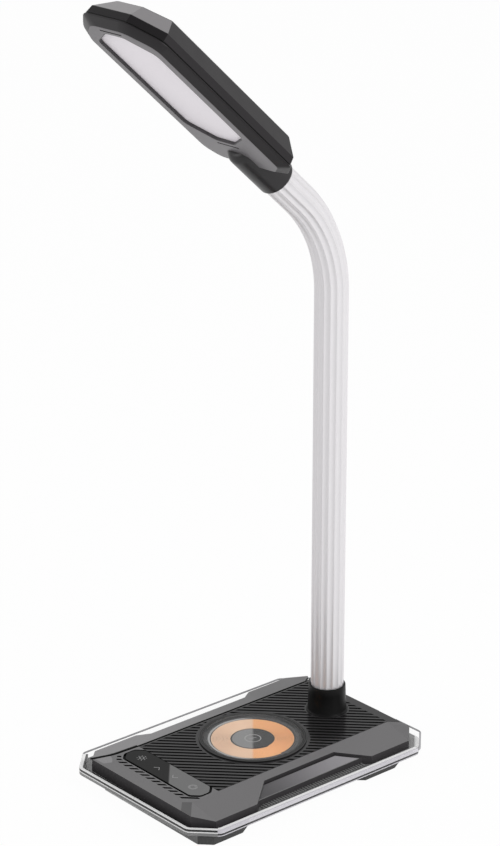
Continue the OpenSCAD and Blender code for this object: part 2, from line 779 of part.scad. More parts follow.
module hose_1() {
    hose_color() translate([0, neck_y, 0]) hose_link(floor_z + 0.3, JOINTS[0].z, false, true);
}

module hose_2() {
    straight_hose(2);
}

module hose_3() {
    straight_hose(3);
}

module hose_4() {
    straight_hose(4);
}

module hose_5() {
    straight_hose(5);
}

module hose_6() {
    straight_hose(6);
}

// Sweeps its children, drawn around the neck's axis, along the bend from angle a0 to a1.
module along_bend(a0, a1) {
    translate([0, neck_y - bend_r, bend_z]) rotate([90, 0, 90]) rotate([0, 0, a0])
        rotate_extrude(angle = a1 - a0, $fn = 360) translate([bend_r, 0]) children();
}

module at_bend(a) {
    translate([0, neck_y - bend_r * (1 - cos(a)), bend_z + bend_r * sin(a)]) rotate([a, 0, 0]) children();
}

ball_a = atan(9 / bend_r);
cup_a = atan(7 / bend_r);

module hose_7() {
    hose_color() {
        translate([0, neck_y, 0]) difference() {
            union() {
                translate([0, 0, JOINTS[5].z + 3]) cylinder(r = hose_r, h = bend_z - JOINTS[5].z - 3);
                translate([0, 0, JOINTS[5].z - 1.6]) cylinder(r = cup_r, h = 8.6);
            }
            translate([0, 0, JOINTS[5].z]) sphere(r = ball_r + cup_clear);
            translate([0, 0, JOINTS[5].z - 10]) cylinder(r = hose_bore_r, h = 80);
        }
        along_bend(0, mid_angle - ball_a) hose_ring();
        at_bend(mid_angle) difference() {
            union() {
                sphere(r = ball_r);
                translate([0, 0, -9.1]) cylinder(r = ball_r - 1.6, h = 7);
            }
            translate([0, 0, 3.4]) cylinder(r = ball_r, h = 5);
            translate([0, 0, -12]) cylinder(r = hose_bore_r, h = 24);
        }
    }
}

module hose_ring() {
    difference() {
        circle(r = hose_r);
        circle(r = hose_bore_r);
    }
}

// Local frame of the bend's upper end: local z runs on towards the head.
module at_end() {
    translate(bend_end) rotate([bend_angle, 0, 0]) children();
}

// The bend below its upper end, through angle a, then a straight end of length l
module end_sweep(a, l) {
    at_end() {
        mirror([0, 0, 1]) translate([0, -bend_r, 0]) rotate([90, 0, 90])
            rotate_extrude(angle = a, $fn = 360) translate([bend_r, 0]) rotate(90) children();
        linear_extrude(l) children();
    }
}

module hose_8() {
    hose_color() {
        at_bend(mid_angle) difference() {
            translate([0, 0, -1.6]) cylinder(r = cup_r, h = 8.6);
            sphere(r = ball_r + cup_clear);
            cylinder(r = hose_bore_r, h = 30);
        }
        end_sweep(bend_angle - mid_angle - cup_a, straight_l - socket_out + 8) hose_ring();
    }
}

module sleeve_color() {
    color([0.93, 0.93, 0.94]) children();
}

module straight_sleeve(z0, z1) {
    sleeve_color() translate([0, neck_y, z0]) linear_extrude(z1 - z0) fluted_ring();
}

half_gap = link_gap / 2;
nut_t = 2.6;

module sleeve_1() {
    straight_sleeve(sleeve_foot_z, JOINTS[0].z - half_gap);
}

module sleeve_link(k) {
    straight_sleeve(JOINTS[k - 2].z + half_gap, JOINTS[k - 1].z - half_gap);
}

module sleeve_2() {
    sleeve_link(2);
}

module sleeve_3() {
    sleeve_link(3);
}

module sleeve_4() {
    sleeve_link(4);
}

module sleeve_5() {
    sleeve_link(5);
}

module sleeve_6() {
    sleeve_link(6);
}

gap_a = atan(half_gap / bend_r);

// The bend's cross-section is turned so that its ridges line up with the straight part.
module bend_ring() {
    rotate(90) fluted_ring();
}

module sleeve_7() {
    straight_sleeve(JOINTS[5].z + half_gap, bend_z);
    sleeve_color() along_bend(0, mid_angle - gap_a) bend_ring();
}

module sleeve_8() {
    sleeve_color() end_sweep(bend_angle - mid_angle - gap_a, straight_l - socket_out + 6) fluted_ring();
}

module neck_collar() {
    color([0.07, 0.07, 0.08]) translate([0, neck_y, deck_top]) difference() {
        union() {
            cylinder(d1 = collar_foot_d, d2 = collar_top_d, h = collar_h, $fn = 96);
            cylinder(d = collar_foot_d + 1.6, h = 1, $fn = 96);
        }
        translate([0, 0, sleeve_foot_z - deck_top]) cylinder(d = neck_d + 2 * fit, h = 30, $fn = 96);
        translate([0, 0, -1]) cylinder(r = hose_r + fit, h = 10);
    }
}

module neck_nut() {
    color([0.6, 0.61, 0.63]) translate([0, neck_y, deck_top - skin - nut_t]) difference() {
        cylinder(d = 20, h = nut_t, $fn = 6);
        translate([0, 0, -1]) cylinder(r = hose_r + 0.05, h = nut_t + 2);
    }
}

// ---------------------------------------------------------------- head

// Places its children on the head, from local x across, y towards the neck and z off the lit face.
module in_head() {
    s = straight_l;
    translate(bend_end) rotate([bend_angle - 90, 0, 0]) translate([0, -s, -neck_n]) children();
}

// The head's plan, pulled in by d: the tip is at local y = -head_l, the heel at 0.
module head_plan(d) {
    w = head_w / 2 - d;
    tip_k = norm([tip_cut_l, tip_cut_w]);
    heel_k = norm([heel_cut_l, heel_cut_w]);
    tip_w = w - tip_cut_w + d * (tip_k - tip_cut_w) / tip_cut_l;
    tip_y = -head_l + tip_cut_l + d * (tip_k - tip_cut_l) / tip_cut_w;
    heel_x = w - heel_cut_w + d * (heel_k - heel_cut_w) / heel_cut_l;
    heel_y = -heel_cut_l - d * (heel_k - heel_cut_l) / heel_cut_w;
    polygon([
        [-tip_w, -head_l + d], [tip_w, -head_l + d], [w, tip_y], [w, heel_y],
        [heel_x, -d], [-heel_x, -d], [-w, heel_y], [-w, tip_y]
    ]);
}

module plan_slab(d, n, t) {
    translate([0, 0, n]) linear_extrude(t) head_plan(d);
}

module lit_plan(d) {
    l = lit_l - 2 * d;
    translate([0, -lit_heel - lit_l / 2])
        polygon(octagon(lit_w - 2 * d, l, 15.5 - 0.6 * d, 10.5 - 0.6 * d));
}

module bezel_outer() {
    hull() {
        plan_slab(bezel_in, 0, eps);
        plan_slab(0, belt_n - 0.8, 0.8);
    }
}

module bezel_inner() {
    hull() {
        plan_slab(bezel_in + 1.2, lit_depth + shell_t, eps);
        plan_slab(shell_t + 0.4, belt_n + 0.4, eps);
    }
}

module socket_space(r) {
    translate([0, socket_out + 1, neck_n]) rotate([90, 0, 0]) cylinder(r = r, h = socket_l + 1);
}

module head_bezel() {
    color([0.3, 0.29, 0.3]) in_head() difference() {
        bezel_outer();
        bezel_inner();
        translate([0, 0, -1]) linear_extrude(20) lit_plan(0);
        translate([0, 0, lit_depth]) linear_extrude(20) lit_plan(-1.2);
        socket_space(socket_d / 2 + fit);
        for (p = head_screw_pts) {
            translate([p.x, p.y, -1]) cylinder(d = 2.3, h = 20);
            translate([p.x, p.y, lit_depth + shell_t]) cylinder(d = post_d + 2 * fit, h = 20);
        }
    }
}

module cover_outer() {
    hull() {
        plan_slab(0.9, belt_n + 0.1, eps);
        plan_slab(1.4, band_n, eps);
    }
    hull() {
        plan_slab(1.4, band_n, eps);
        plan_slab(cover_in, head_t - eps, eps);
    }
}

module cover_inner() {
    hull() {
        plan_slab(0.9 + shell_t, belt_n - 1, eps);
        plan_slab(1.4 + shell_t, band_n, eps);
    }
    hull() {
        plan_slab(1.4 + shell_t, band_n, eps);
        plan_slab(cover_in + 1, head_t - shell_t, eps);
    }
}

head_screw_pts = [for (x = [-1, 1], y = [-head_screw_in, -head_l + head_screw_in]) [x * (lit_w / 2 + 4.4), y]];

module head_cover() {
    color([0.22, 0.21, 0.22]) in_head() {
        difference() {
            cover_outer();
            cover_inner();
            socket_space(socket_d / 2 + fit);
        }
        // Posts for the screws
        for (p = head_screw_pts) translate([p.x, p.y, lit_depth + shell_t]) difference() {
            cylinder(d = post_d, h = post_h);
            translate([0, 0, -1]) cylinder(d = 1.8, h = post_h + 0.4);
        }
    }
}

module head_screws() {
    color([0.6, 0.6, 0.62]) in_head() for (p = head_screw_pts) translate([p.x, p.y, lit_depth + 0.3]) {
        cylinder(d = 2.2, h = 1.2);
        cylinder(d = 1.8, h = 7);
    }
}

module head_socket() {
    n = neck_n;
    r = socket_d / 2;
    color([0.14, 0.13, 0.14]) in_head() translate([0, socket_out, n]) rotate([90, 0, 0]) difference() {
        union() {
            cylinder(r = r, h = socket_l - 4);
            translate([0, 0, socket_l - 4]) rotate_extrude($fn = 96) intersection() {
                union() {
                    square([r - 4, 4]);
                    translate([r - 4, 0]) circle(r = 4, $fn = 48);
                }
                square([r, 4]);
            }
        }
        translate([0, 0, -1]) cylinder(d = neck_d + 2 * fit, h = 7.5);
        translate([0, 0, -1]) cylinder(r = hose_r + fit, h = 16);
        translate([0, 0, -1]) cylinder(r = 3, h = socket_l - 3);
    }
}

module diffuser() {
    color([0.9, 0.88, 0.9]) in_head() translate([0, 0, lit_depth]) linear_extrude(1.4) lit_plan(-1.1);
}

module light_guide() {
    color([0.9, 0.95, 1, 0.6]) in_head() translate([0, 0, lit_depth + 1.45])
        linear_extrude(2.5) lit_plan(0.4);
}

module reflector_sheet() {
    color([0.97, 0.97, 0.97]) in_head() translate([0, 0, lit_depth + 4]) linear_extrude(0.4) lit_plan(-1.6);
}

// One row of lights along each long edge of the guide
module led_strips() {
    l = lit_l - 26;
    color([0.9, 0.9, 0.85]) in_head() for (side = [-1, 1])
        translate([side * (lit_w / 2 + 1.4) - 0.5, -lit_heel - lit_l / 2 - l / 2, lit_depth + 1.5])
            cube([1, l, 2.4]);
}

module led_chips() {
    n = 12;
    step = (lit_l - 30) / (n - 1);
    color([1, 0.95, 0.7]) in_head() for (side = [-1, 1], k = [0:n - 1])
        translate([side * (lit_w / 2 + 0.4) - 0.5, -lit_heel - 15 - k * step - 1.4, lit_depth + 1.9])
            cube([1, 2.8, 1.6]);
}

clear_tray();
under_cover();
weight_plate();
front_foot();
front_left_foot();
rear_left_foot();
rear_right_foot();
base_screws();
deck_frame();
ribbed_panel();
left_wing();
front_wing();
side_plate();
side_grips();
touch_strip();
touch_board();
coil_ring();
coil_window();
charging_coil();
coil_hub();
ferrite_disc();
charger_board();
board_chips();
usb_inlet();
neck_collar();
neck_nut();
hose_1();
hose_2();
hose_3();
hose_4();
hose_5();
hose_6();
hose_7();
hose_8();
sleeve_1();
sleeve_2();
sleeve_3();
sleeve_4();
sleeve_5();
sleeve_6();
sleeve_7();
sleeve_8();
head_socket();
head_bezel();
head_cover();
diffuser();
light_guide();
reflector_sheet();
led_strips();
led_chips();
head_screws();
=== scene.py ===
"""Looks of a desk lamp with a charging pad in its base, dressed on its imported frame."""
import math

import bmesh
import bpy
from mathutils import Matrix, Vector


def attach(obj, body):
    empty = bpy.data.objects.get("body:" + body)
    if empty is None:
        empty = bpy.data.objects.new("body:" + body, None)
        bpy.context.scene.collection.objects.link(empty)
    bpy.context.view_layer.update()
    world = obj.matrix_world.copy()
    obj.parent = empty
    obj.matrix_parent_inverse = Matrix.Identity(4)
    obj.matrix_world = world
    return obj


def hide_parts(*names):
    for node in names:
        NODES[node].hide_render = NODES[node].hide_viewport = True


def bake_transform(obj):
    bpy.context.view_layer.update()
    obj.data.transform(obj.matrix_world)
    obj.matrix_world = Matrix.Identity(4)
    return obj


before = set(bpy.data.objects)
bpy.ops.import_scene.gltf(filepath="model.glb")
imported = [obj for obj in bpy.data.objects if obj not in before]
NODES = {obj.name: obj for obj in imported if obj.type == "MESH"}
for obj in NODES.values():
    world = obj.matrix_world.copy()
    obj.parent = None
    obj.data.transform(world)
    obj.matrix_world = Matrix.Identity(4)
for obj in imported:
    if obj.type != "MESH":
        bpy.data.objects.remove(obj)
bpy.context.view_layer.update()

MM = 0.001
SCENE = bpy.context.scene

# ------------------------------------------------------------------ sizes, as in the part's source (mm)
BASE_X, BASE_Y = 4.3, -3.9
DECK_W, DECK_L, DECK_CUT, DECK_TOP, WING_EDGE, LEFT_EDGE = 104.7, 161.2, 9.4, 15.4, 12.9, 13.6
FRAME_TOP, FLOOR_Z = 12.0, 8.1
X0, X1 = BASE_X - DECK_W / 2, BASE_X + DECK_W / 2
Y0, Y1 = BASE_Y - DECK_L / 2, BASE_Y + DECK_L / 2
PANEL_L, PANEL_R, PANEL_F, REAR_IN, WING_L = -33.4, 35.5, -55.2, 6.0, -34.8
NOTCH_F, NOTCH_R = -46.0, 38.4
NOTCHES = {1: (3.4, 4.42), -1: (4.8, 7.2)}  # right and left side: depth and sloped run
TRAY_W, TRAY_L, TRAY_Y, TRAY_CUT, RIM_Z, LOW_Z, RIM_W = 119.0, 173.7, -2.75, 14.4, 10.5, 6.5, 3.2
TRAY_Y0, TRAY_Y1 = TRAY_Y - TRAY_L / 2, TRAY_Y + TRAY_L / 2
FOOT_IN, FOOT_W, FOOT_CUT, FOOT_START, FOOT_L, FOOT_ARM = 6.0, 9.0, 6.3, 19.6, 36.4, 40.5
RIB_PITCH, RIB_SHIFT, RIB_DEPTH, RIB_TOP, RIB_LOW = 3.44, 2.88, 0.8, 1.75, 1.4
TOUCH_X, TOUCH_Y, TOUCH_W, TOUCH_L, TOUCH_CUT = 1.05, -63.1, 64.9, 15.0, 4.4
INLET_X, INLET_Z, INLET_HALF, INLET_R = 22.0, 11.25, 2.95, 1.75
WINDOW_TOP, WINDOW_LOW, WINDOW_R, RING_R = 16.4, 15.2, 28.0, 30.5
COIL_IN, COIL_OUT, COIL_TURNS, WIRE, HUB_R = 12.55, 24.0, 14, 0.76, 11.7
NECK_Y, NECK_R, FLUTES, FLUTE_D = 56.4, 9.45, 16, 0.7
BEND_Z, BEND_R, BEND_A = 266.7, 76.9, math.radians(47.5)
JOINTS = [60, 95, 130, 165, 200, 235]  # heights of the joints in the neck's straight part
STRAIGHT_L, SOCKET_OUT, SOCKET_L, SOCKET_R, NECK_N = 36.8, 15.7, 33.0, 10.5, 5.7
HEAD_W, HEAD_L, TIP_L, TIP_W, HEEL_L, HEEL_W = 68.6, 133.6, 12.2, 18.2, 10.0, 10.0
BELT_N, BAND_N, HEAD_T, BEZEL_IN, COVER_IN = 3.8, 8.85, 17.9, 5.7, 9.4
LIT_L, LIT_W, LIT_HEEL, LIT_DEPTH = 95.3, 44.9, 26.7, 1.7


# ------------------------------------------------------------------ materials
def grey(value, tint=(1.0, 1.0, 1.0)):
    """A display grey, 0 to 255, as a linear colour."""

    def linear(c):
        c = min(c, 255) / 255
        return c / 12.92 if c <= 0.04045 else ((c + 0.055) / 1.055) ** 2.4

    return tuple(linear(value * t) for t in tint) + (1.0,)


def node(tree, kind, **values):
    made = tree.nodes.new(kind)
    for name, value in values.items():
        if name in made.inputs:
            made.inputs[name].default_value = value
        else:
            setattr(made, name, value)
    return made


def surface(name, colour, rough, metallic=0.0, grain=900.0, bump=0.00002, mottle=0.06, spread=0.05,
            specular=0.5, stretch=(1, 1, 1), alpha=1.0, fade=None):
    """Moulded or painted surface: fine grain in the normal, slight mottling of colour and roughness.
    fade = (direction, from mm, to mm, colour) lets the colour run over to another one along the piece; every
    fade here paints light or shade."""
    m = bpy.data.materials.new(name)
    m.use_nodes = True
    t = m.node_tree
    b = t.nodes["Principled BSDF"]
    b.inputs["Metallic"].default_value = metallic
    b.inputs["Specular IOR Level"].default_value = specular
    where = node(t, "ShaderNodeTexCoord")
    scaled = node(t, "ShaderNodeMapping")
    scaled.inputs["Scale"].default_value = stretch
    t.links.new(where.outputs["Object"], scaled.inputs["Vector"])
    fine = node(t, "ShaderNodeTexNoise", Scale=grain, Detail=3.0, Roughness=0.6)
    broad = node(t, "ShaderNodeTexNoise", Scale=70.0, Detail=4.0, Roughness=0.55)
    for n in (fine, broad):
        t.links.new(scaled.outputs["Vector"], n.inputs["Vector"])
    mix = node(t, "ShaderNodeMix", data_type="RGBA")
    mix.inputs["A"].default_value = tuple(c * (1 - mottle) for c in colour[:3]) + (1,)
    mix.inputs["B"].default_value = tuple(min(1, c * (1 + mottle)) for c in colour[:3]) + (1,)
    both = node(t, "ShaderNodeMath", operation="MULTIPLY_ADD")
    both.inputs[1].default_value = 0.5
    t.links.new(fine.outputs["Fac"], both.inputs[0])
    half = node(t, "ShaderNodeMath", operation="MULTIPLY")
    half.inputs[1].default_value = 0.5
    t.links.new(broad.outputs["Fac"], half.inputs[0])
    t.links.new(half.outputs[0], both.inputs[2])
    t.links.new(both.outputs[0], mix.inputs["Factor"])
    shade = mix.outputs["Result"]
    if fade:
        along = node(t, "ShaderNodeVectorMath", operation="DOT_PRODUCT")
        along.inputs[1].default_value = fade[0]
        t.links.new(where.outputs["Object"], along.inputs[0])
        run = node(t, "ShaderNodeMapRange")
        run.interpolation_type = "SMOOTHSTEP"
        run.inputs["From Min"].default_value = fade[1] * MM
        run.inputs["From Max"].default_value = fade[2] * MM
        t.links.new(along.outputs["Value"], run.inputs["Value"])
        over = node(t, "ShaderNodeMix", data_type="RGBA")
        over.inputs["B"].default_value = fade[3]
        t.links.new(run.outputs["Result"], over.inputs["Factor"])
        t.links.new(shade, over.inputs["A"])
        shade = over.outputs["Result"]
    t.links.new(shade, b.inputs["Base Color"])
    b.inputs["Alpha"].default_value = alpha
    ramp = node(t, "ShaderNodeMapRange")
    ramp.inputs["To Min"].default_value = max(0.02, rough - spread)
    ramp.inputs["To Max"].default_value = rough + spread
    t.links.new(broad.outputs["Fac"], ramp.inputs["Value"])
    t.links.new(ramp.outputs["Result"], b.inputs["Roughness"])
    relief = node(t, "ShaderNodeBump", Strength=1.0, Distance=bump)
    t.links.new(fine.outputs["Fac"], relief.inputs["Height"])
    t.links.new(relief.outputs["Normal"], b.inputs["Normal"])
    return m


def clear(name, tint, rough):
    """Clear plastic: refracts, and lets light through to what is below."""
    m = surface(name, tint, rough, mottle=0.01, spread=0.01, **SMOOTH)
    t = m.node_tree
    b = t.nodes["Principled BSDF"]
    b.inputs["Transmission Weight"].default_value = 1.0
    b.inputs["IOR"].default_value = 1.46
    path = node(t, "ShaderNodeLightPath")
    through = node(t, "ShaderNodeBsdfTransparent")
    through.inputs["Color"].default_value = (0.93, 0.94, 0.95, 1)
    pick = node(t, "ShaderNodeMixShader")
    t.links.new(path.outputs["Is Shadow Ray"], pick.inputs[0])
    t.links.new(b.outputs[0], pick.inputs[1])
    t.links.new(through.outputs[0], pick.inputs[2])
    t.links.new(pick.outputs[0], t.nodes["Material Output"].inputs["Surface"])
    return m


SMOOTH = {"grain": 160, "bump": 0.000004}
FINE = {"grain": 1500, "bump": 0.000012}
PAINT = {"metallic": 0.35, **FINE}
TURNED = {"grain": 1400, "bump": 0.00001}
# Painted reflection: the pad's window and the touch strip show a bright panel mirrored on one side of a line
# square to this direction, painted into the colours under the window and on the strip
SPLIT = (0.6546, 0.756, 0)
PAD_SPLIT = (SPLIT, -0.9, 0.9)

WING = surface("wing_grey", grey(112, (1, 0.99, 1)), 0.42, **PAINT)
# Painted shade: a darker copy of the wing grey, for a patch at the front strip's right end.
WING_SHADE = surface("wing_grey_painted_shade", grey(84, (1, 0.99, 1)), 0.42, **PAINT)
# Painted sheen: the left wing is painted lighter than the right one at its front, fading into the wing grey
# towards the rear; a patch at the front strip's left end shares it.
LEFT_SHEEN = surface("left_wing_painted_sheen", grey(140, (1, 0.99, 1)), 0.42, **PAINT,
               fade=((0, 1, 0), -60, 50, grey(112, (1, 0.99, 1))))
# Painted shading: the side plate is dark at its front and runs lighter towards the rear.
PLATE_SHADED = surface("plate_grey", grey(72, (1, 0.985, 1.01)), 0.4, **PAINT,
                fade=((0, 1, 0), -45, 35, grey(150, (1, 0.985, 1.01))))
# Painted highlight: the bevels along the edges of the wings and side plate are painted a lighter grey than the
# faces they join.
EDGE_HIGHLIGHT = surface("edge_painted_highlight", grey(118), 0.35, metallic=0.4, grain=1500, bump=0.00001)
# Painted shade: the upright walls of the wings, side plate and deck frame are a dark grey that stands for the
# shade on them; the grain and mottling are the plastic's own.
WALL_SHADE = surface("wall_painted_shade", grey(58, (1, 0.97, 1)), 0.6, grain=700, bump=0.00006, mottle=0.25, specular=0.2)
GRIP = surface("grip_grey", grey(118), 0.5, grain=700, bump=0.00003, mottle=0.12, specular=0.3)
PANEL = surface("panel_dark", grey(50, (1, 0.98, 1)), 0.2, grain=1400, bump=0.000006, specular=0.25)
# Painted shade: near black standing for the shade in gaps, on the left wing's wall beside the panel, the touch
# strip's sides and the band along the left wing.
GAP_SHADE = surface("gap_painted_shade", grey(12), 0.5, specular=0.1, **TURNED)
# Dark glass with a painted reflection: lighter past the split line.
GLOSS = surface("touch_gloss", grey(20), 0.12, grain=300, bump=0.000002, mottle=0.04, spread=0.02,
                specular=0.1, fade=(SPLIT, -46.3, -45.2, grey(114)))
ICON = surface("icon_grey", grey(165), 0.5, grain=2000, bump=0.000004)
ICON_DIM = surface("icon_dim", grey(132), 0.5, grain=2000, bump=0.000004)
RING = surface("ring_black", grey(64), 0.4, grain=900, bump=0.000008, mottle=0.08, specular=0.15)
# Painted shade: near black for the shade on the ring's outer wall and foot and in its fine grooves.
RING_SHADE = surface("ring_painted_shade", grey(20), 0.5, grain=900, bump=0.000008, specular=0.1)
# Painted reflection: the copper is peach, with painted glare, on one side of the split line and deeper orange
# past it.
COPPER = surface("coil_copper", grey(255, (1, 0.83, 0.71)), 0.45, metallic=0.1, grain=2600, bump=0.00006,
                 mottle=0.14, specular=0.3, fade=(*PAD_SPLIT, grey(252, (1, 0.74, 0.5))))
# Painted reflection: the hub is light grey on one side of the split line and near black past it.
HUB = surface("hub_grey", grey(138), 0.5, grain=1200, bump=0.00002, specular=0.15,
              fade=(*PAD_SPLIT, grey(20)))
# Painted highlight: the lip round the winding is pale, fading to dark grey across the split line.
LIP_HIGHLIGHT = surface("coil_lip_painted_highlight", grey(176), 0.4, grain=1200, bump=0.00001, specular=0.2,
              fade=(SPLIT, -9, 3, grey(58)))
FERRITE = surface("ferrite_black", grey(38), 0.8, grain=1600, bump=0.00005, mottle=0.15)
COLLAR = surface("collar_black", grey(9), 0.36, grain=800, bump=0.00001, specular=0.16)
SLEEVE = surface("sleeve_silver", grey(226, (1, 0.99, 1)), 0.34, metallic=0.35, grain=2200, bump=0.000008,
                 mottle=0.03, stretch=(1, 1, 0.25))
HEAD = surface("head_grey", grey(34, (1, 0.92, 0.99)), 0.42, metallic=0.3, specular=0.3, **FINE)
# Painted shade: a darker copy of the head grey for the upright band at the tip.
HEAD_SHADE = surface("head_painted_shade", grey(26, (1, 0.92, 0.99)), 0.45, metallic=0.3, specular=0.2, **FINE)
# Painted shade: the bezel's wall down into the lit opening is painted darker than the bezel.
RECESS_SHADE = surface("recess_painted_shade", grey(74, (1, 0.97, 1)), 0.45, specular=0.2, **FINE)
# Painted highlight and painted sheen: lighter copies of the head grey for the sloped faces at the tip and at its
# corners.
HEAD_TIP_HIGHLIGHT = surface("head_tip_painted_highlight", grey(250, (1, 0.985, 0.995)), 0.3, metallic=0.75,
                   stretch=(1, 6, 6), **FINE)
HEAD_CORNER_SHEEN = surface("head_corner_painted_sheen", grey(138, (1, 0.98, 0.995)), 0.3, metallic=0.6,
                      stretch=(1, 6, 6), **FINE)
BEZEL = surface("bezel_grey", grey(112, (1, 0.97, 1)), 0.42, metallic=0.3, **FINE)
# Painted shade: black for the shade in the head's parting groove.
SEAM_SHADE = surface("seam_painted_shade", grey(18), 0.6, grain=900, bump=0.00002)
LIT = surface("diffuser_white", grey(251, (1, 0.978, 1)), 0.45, grain=1800, bump=0.000006, mottle=0.015)
SOCKET = surface("socket_dark", grey(32, (1, 0.94, 1)), 0.32, metallic=0.2, grain=1200, bump=0.00001)
RUBBER = surface("foot_rubber", grey(74), 0.75, grain=600, bump=0.00005, mottle=0.15, specular=0.25)
# Painted light: the front foot's front face is light grey, fading to mid grey towards the right.
FOOT_FRONT_LIT = surface("foot_front_painted_light", grey(205), 0.7, grain=600, bump=0.00004, mottle=0.06,
                     specular=0.25, fade=((1, 0, 0), -28, 52, grey(118)))
COVER = surface("under_black", grey(36), 0.65, grain=600, bump=0.00006, mottle=0.15)
STEEL = surface("plain_steel", grey(165), 0.35, metallic=0.9, grain=900, bump=0.00001, stretch=(1, 8, 1))
BOARD = surface("board_green", (0.012, 0.09, 0.045, 1), 0.35, grain=400, bump=0.00001, mottle=0.2)
CHIP = surface("chip_black", grey(32), 0.6, grain=1500, bump=0.00001)
FILM = surface("reflector_white", grey(240), 0.25, grain=500, bump=0.000004, mottle=0.02)
LIGHTS = surface("light_cream", grey(240, (1, 0.96, 0.75)), 0.4, grain=900, bump=0.000005)
TRAY = surface("tray_clear", grey(250), 0.08, mottle=0.01, spread=0.01, alpha=0.03, **SMOOTH)
# Painted light: these tones are glints and reflections of clear plastic, painted onto the tray's rim in bands.
TRAY_PALE = surface("tray_painted_glint", grey(255), 0.3, mottle=0.01, alpha=0.8, **SMOOTH)
TRAY_DARK = surface("tray_painted_dark_reflection", grey(22), 0.15, mottle=0.05, alpha=0.92, **SMOOTH)
TRAY_LINE = surface("tray_painted_grey_reflection", grey(140, (1, 0.99, 1.02)), 0.2, mottle=0.05, alpha=0.85, **SMOOTH)
TRAY_WALL = surface("tray_wall_painted_reflection", grey(128), 0.2, mottle=0.05, alpha=0.8, **SMOOTH)
TRAY_SIDE = surface("tray_side_painted_reflection", grey(215, (1, 0.99, 1.02)), 0.2, mottle=0.03, alpha=0.8, **SMOOTH)
WINDOW = surface("window_clear", grey(225), 0.05, grain=160, bump=0.000002, mottle=0.01, spread=0.01,
                 alpha=0.06)
GUIDE = clear("guide_clear", (0.97, 0.98, 1, 1), 0.1)


# ------------------------------------------------------------------ mesh helpers (mm in, metres out)
def put(name, bm, materials, body=None, slot=None, *stands_for):
    """Makes the piece from bm, lets it ride on body and stand for CAD nodes."""
    bmesh.ops.recalc_face_normals(bm, faces=bm.faces)
    mesh = bpy.data.meshes.new(name)
    bm.to_mesh(mesh)
    bm.free()
    mesh.transform(Matrix.Scale(MM, 4))
    for m in materials:
        mesh.materials.append(m)
    o = bpy.data.objects.new(name, mesh)
    SCENE.collection.objects.link(o)
    if body:
        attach(o, body)
    if stands_for:
        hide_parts(*stands_for)
    return o


def octagon(w, l, cx, cy, x=0.0, y=0.0):
    """A plan w by l round (x, y) with its corners cut by cx and cy."""
    return [(x + w / 2 - cx, y - l / 2), (x + w / 2, y - l / 2 + cy), (x + w / 2, y + l / 2 - cy),
            (x + w / 2 - cx, y + l / 2), (x - w / 2 + cx, y + l / 2), (x - w / 2, y + l / 2 - cy),
            (x - w / 2, y - l / 2 + cy), (x - w / 2 + cx, y - l / 2)]


def outline(w, l, c, d, y):
    """The tray's kind of plan round (BASE_X, y), with corners cut by c, all pulled in by d."""
    c = max(0.5, c - d * (2 - math.sqrt(2)))
    return octagon(w - 2 * d, l - 2 * d, c, c, BASE_X, y)


def rounded(points, radius, steps=5):
    """Rounds each corner of a plan with an arc; radius is one for all, or one for each."""
    radii = radius if isinstance(radius, tuple) else (radius,) * len(points)
    out = []
    n = len(points)
    for i, p in enumerate(points):
        p, a, b = Vector(p), Vector(points[i - 1]), Vector(points[(i + 1) % n])
        u, v = (a - p).normalized(), (b - p).normalized()
        half = u.angle(v) / 2
        reach = min(radii[i] / math.tan(half), (a - p).length * 0.45, (b - p).length * 0.45)
        r = reach * math.tan(half)
        centre = p + (u + v).normalized() * r / math.sin(half)
        start, end = p + u * reach - centre, p + v * reach - centre
        turn = start.angle_signed(end)
        for k in range(steps + 1):
            q = start.copy()
            q.rotate(Matrix.Rotation(-turn * k / steps, 2))
            out.append(tuple(centre + q))
    return out


def square(x0, x1, y0, y1):
    return [(x0, y0), (x1, y0), (x1, y1), (x0, y1)]


def circle(x, y, r, steps=96):
    turns = [2 * math.pi * k / steps for k in range(steps)]
    return [(x + r * math.cos(a), y + r * math.sin(a)) for a in turns]


def loft(bm, loops, ends=True, closed=False):
    """Skins a list of loops with the same number of points each."""
    rows = [[bm.verts.new(p) for p in loop] for loop in loops]
    for a, b in zip(rows, rows[1:] + (rows[:1] if closed else [])):
        n = len(a)
        for i in range(n):
            bm.faces.new((a[i], a[(i + 1) % n], b[(i + 1) % n], b[i]))
    if ends and not closed:
        bm.faces.new(list(reversed(rows[0])))
        bm.faces.new(rows[-1])
    return rows


def flat(points, z):
    return [(p[0], p[1], z) for p in points]


def prism(bm, points, z0, z1):
    loft(bm, [flat(points, z0), flat(points, z1)])


def bevel(bm, width, angle=14, material=-1, keep=None):
    """Rounds every edge sharper than angle, unless keep says to leave it."""
    bmesh.ops.remove_doubles(bm, verts=bm.verts, dist=1e-4)
    bmesh.ops.recalc_face_normals(bm, faces=bm.faces)
    edges = [e for e in bm.edges if len(e.link_faces) == 2 and e.calc_face_angle(0) > math.radians(angle)
             and not (keep and keep(e))]
    bmesh.ops.bevel(bm, geom=edges, offset=width, segments=2, profile=0.6, affect="EDGES",
                    clamp_overlap=True, material=material)


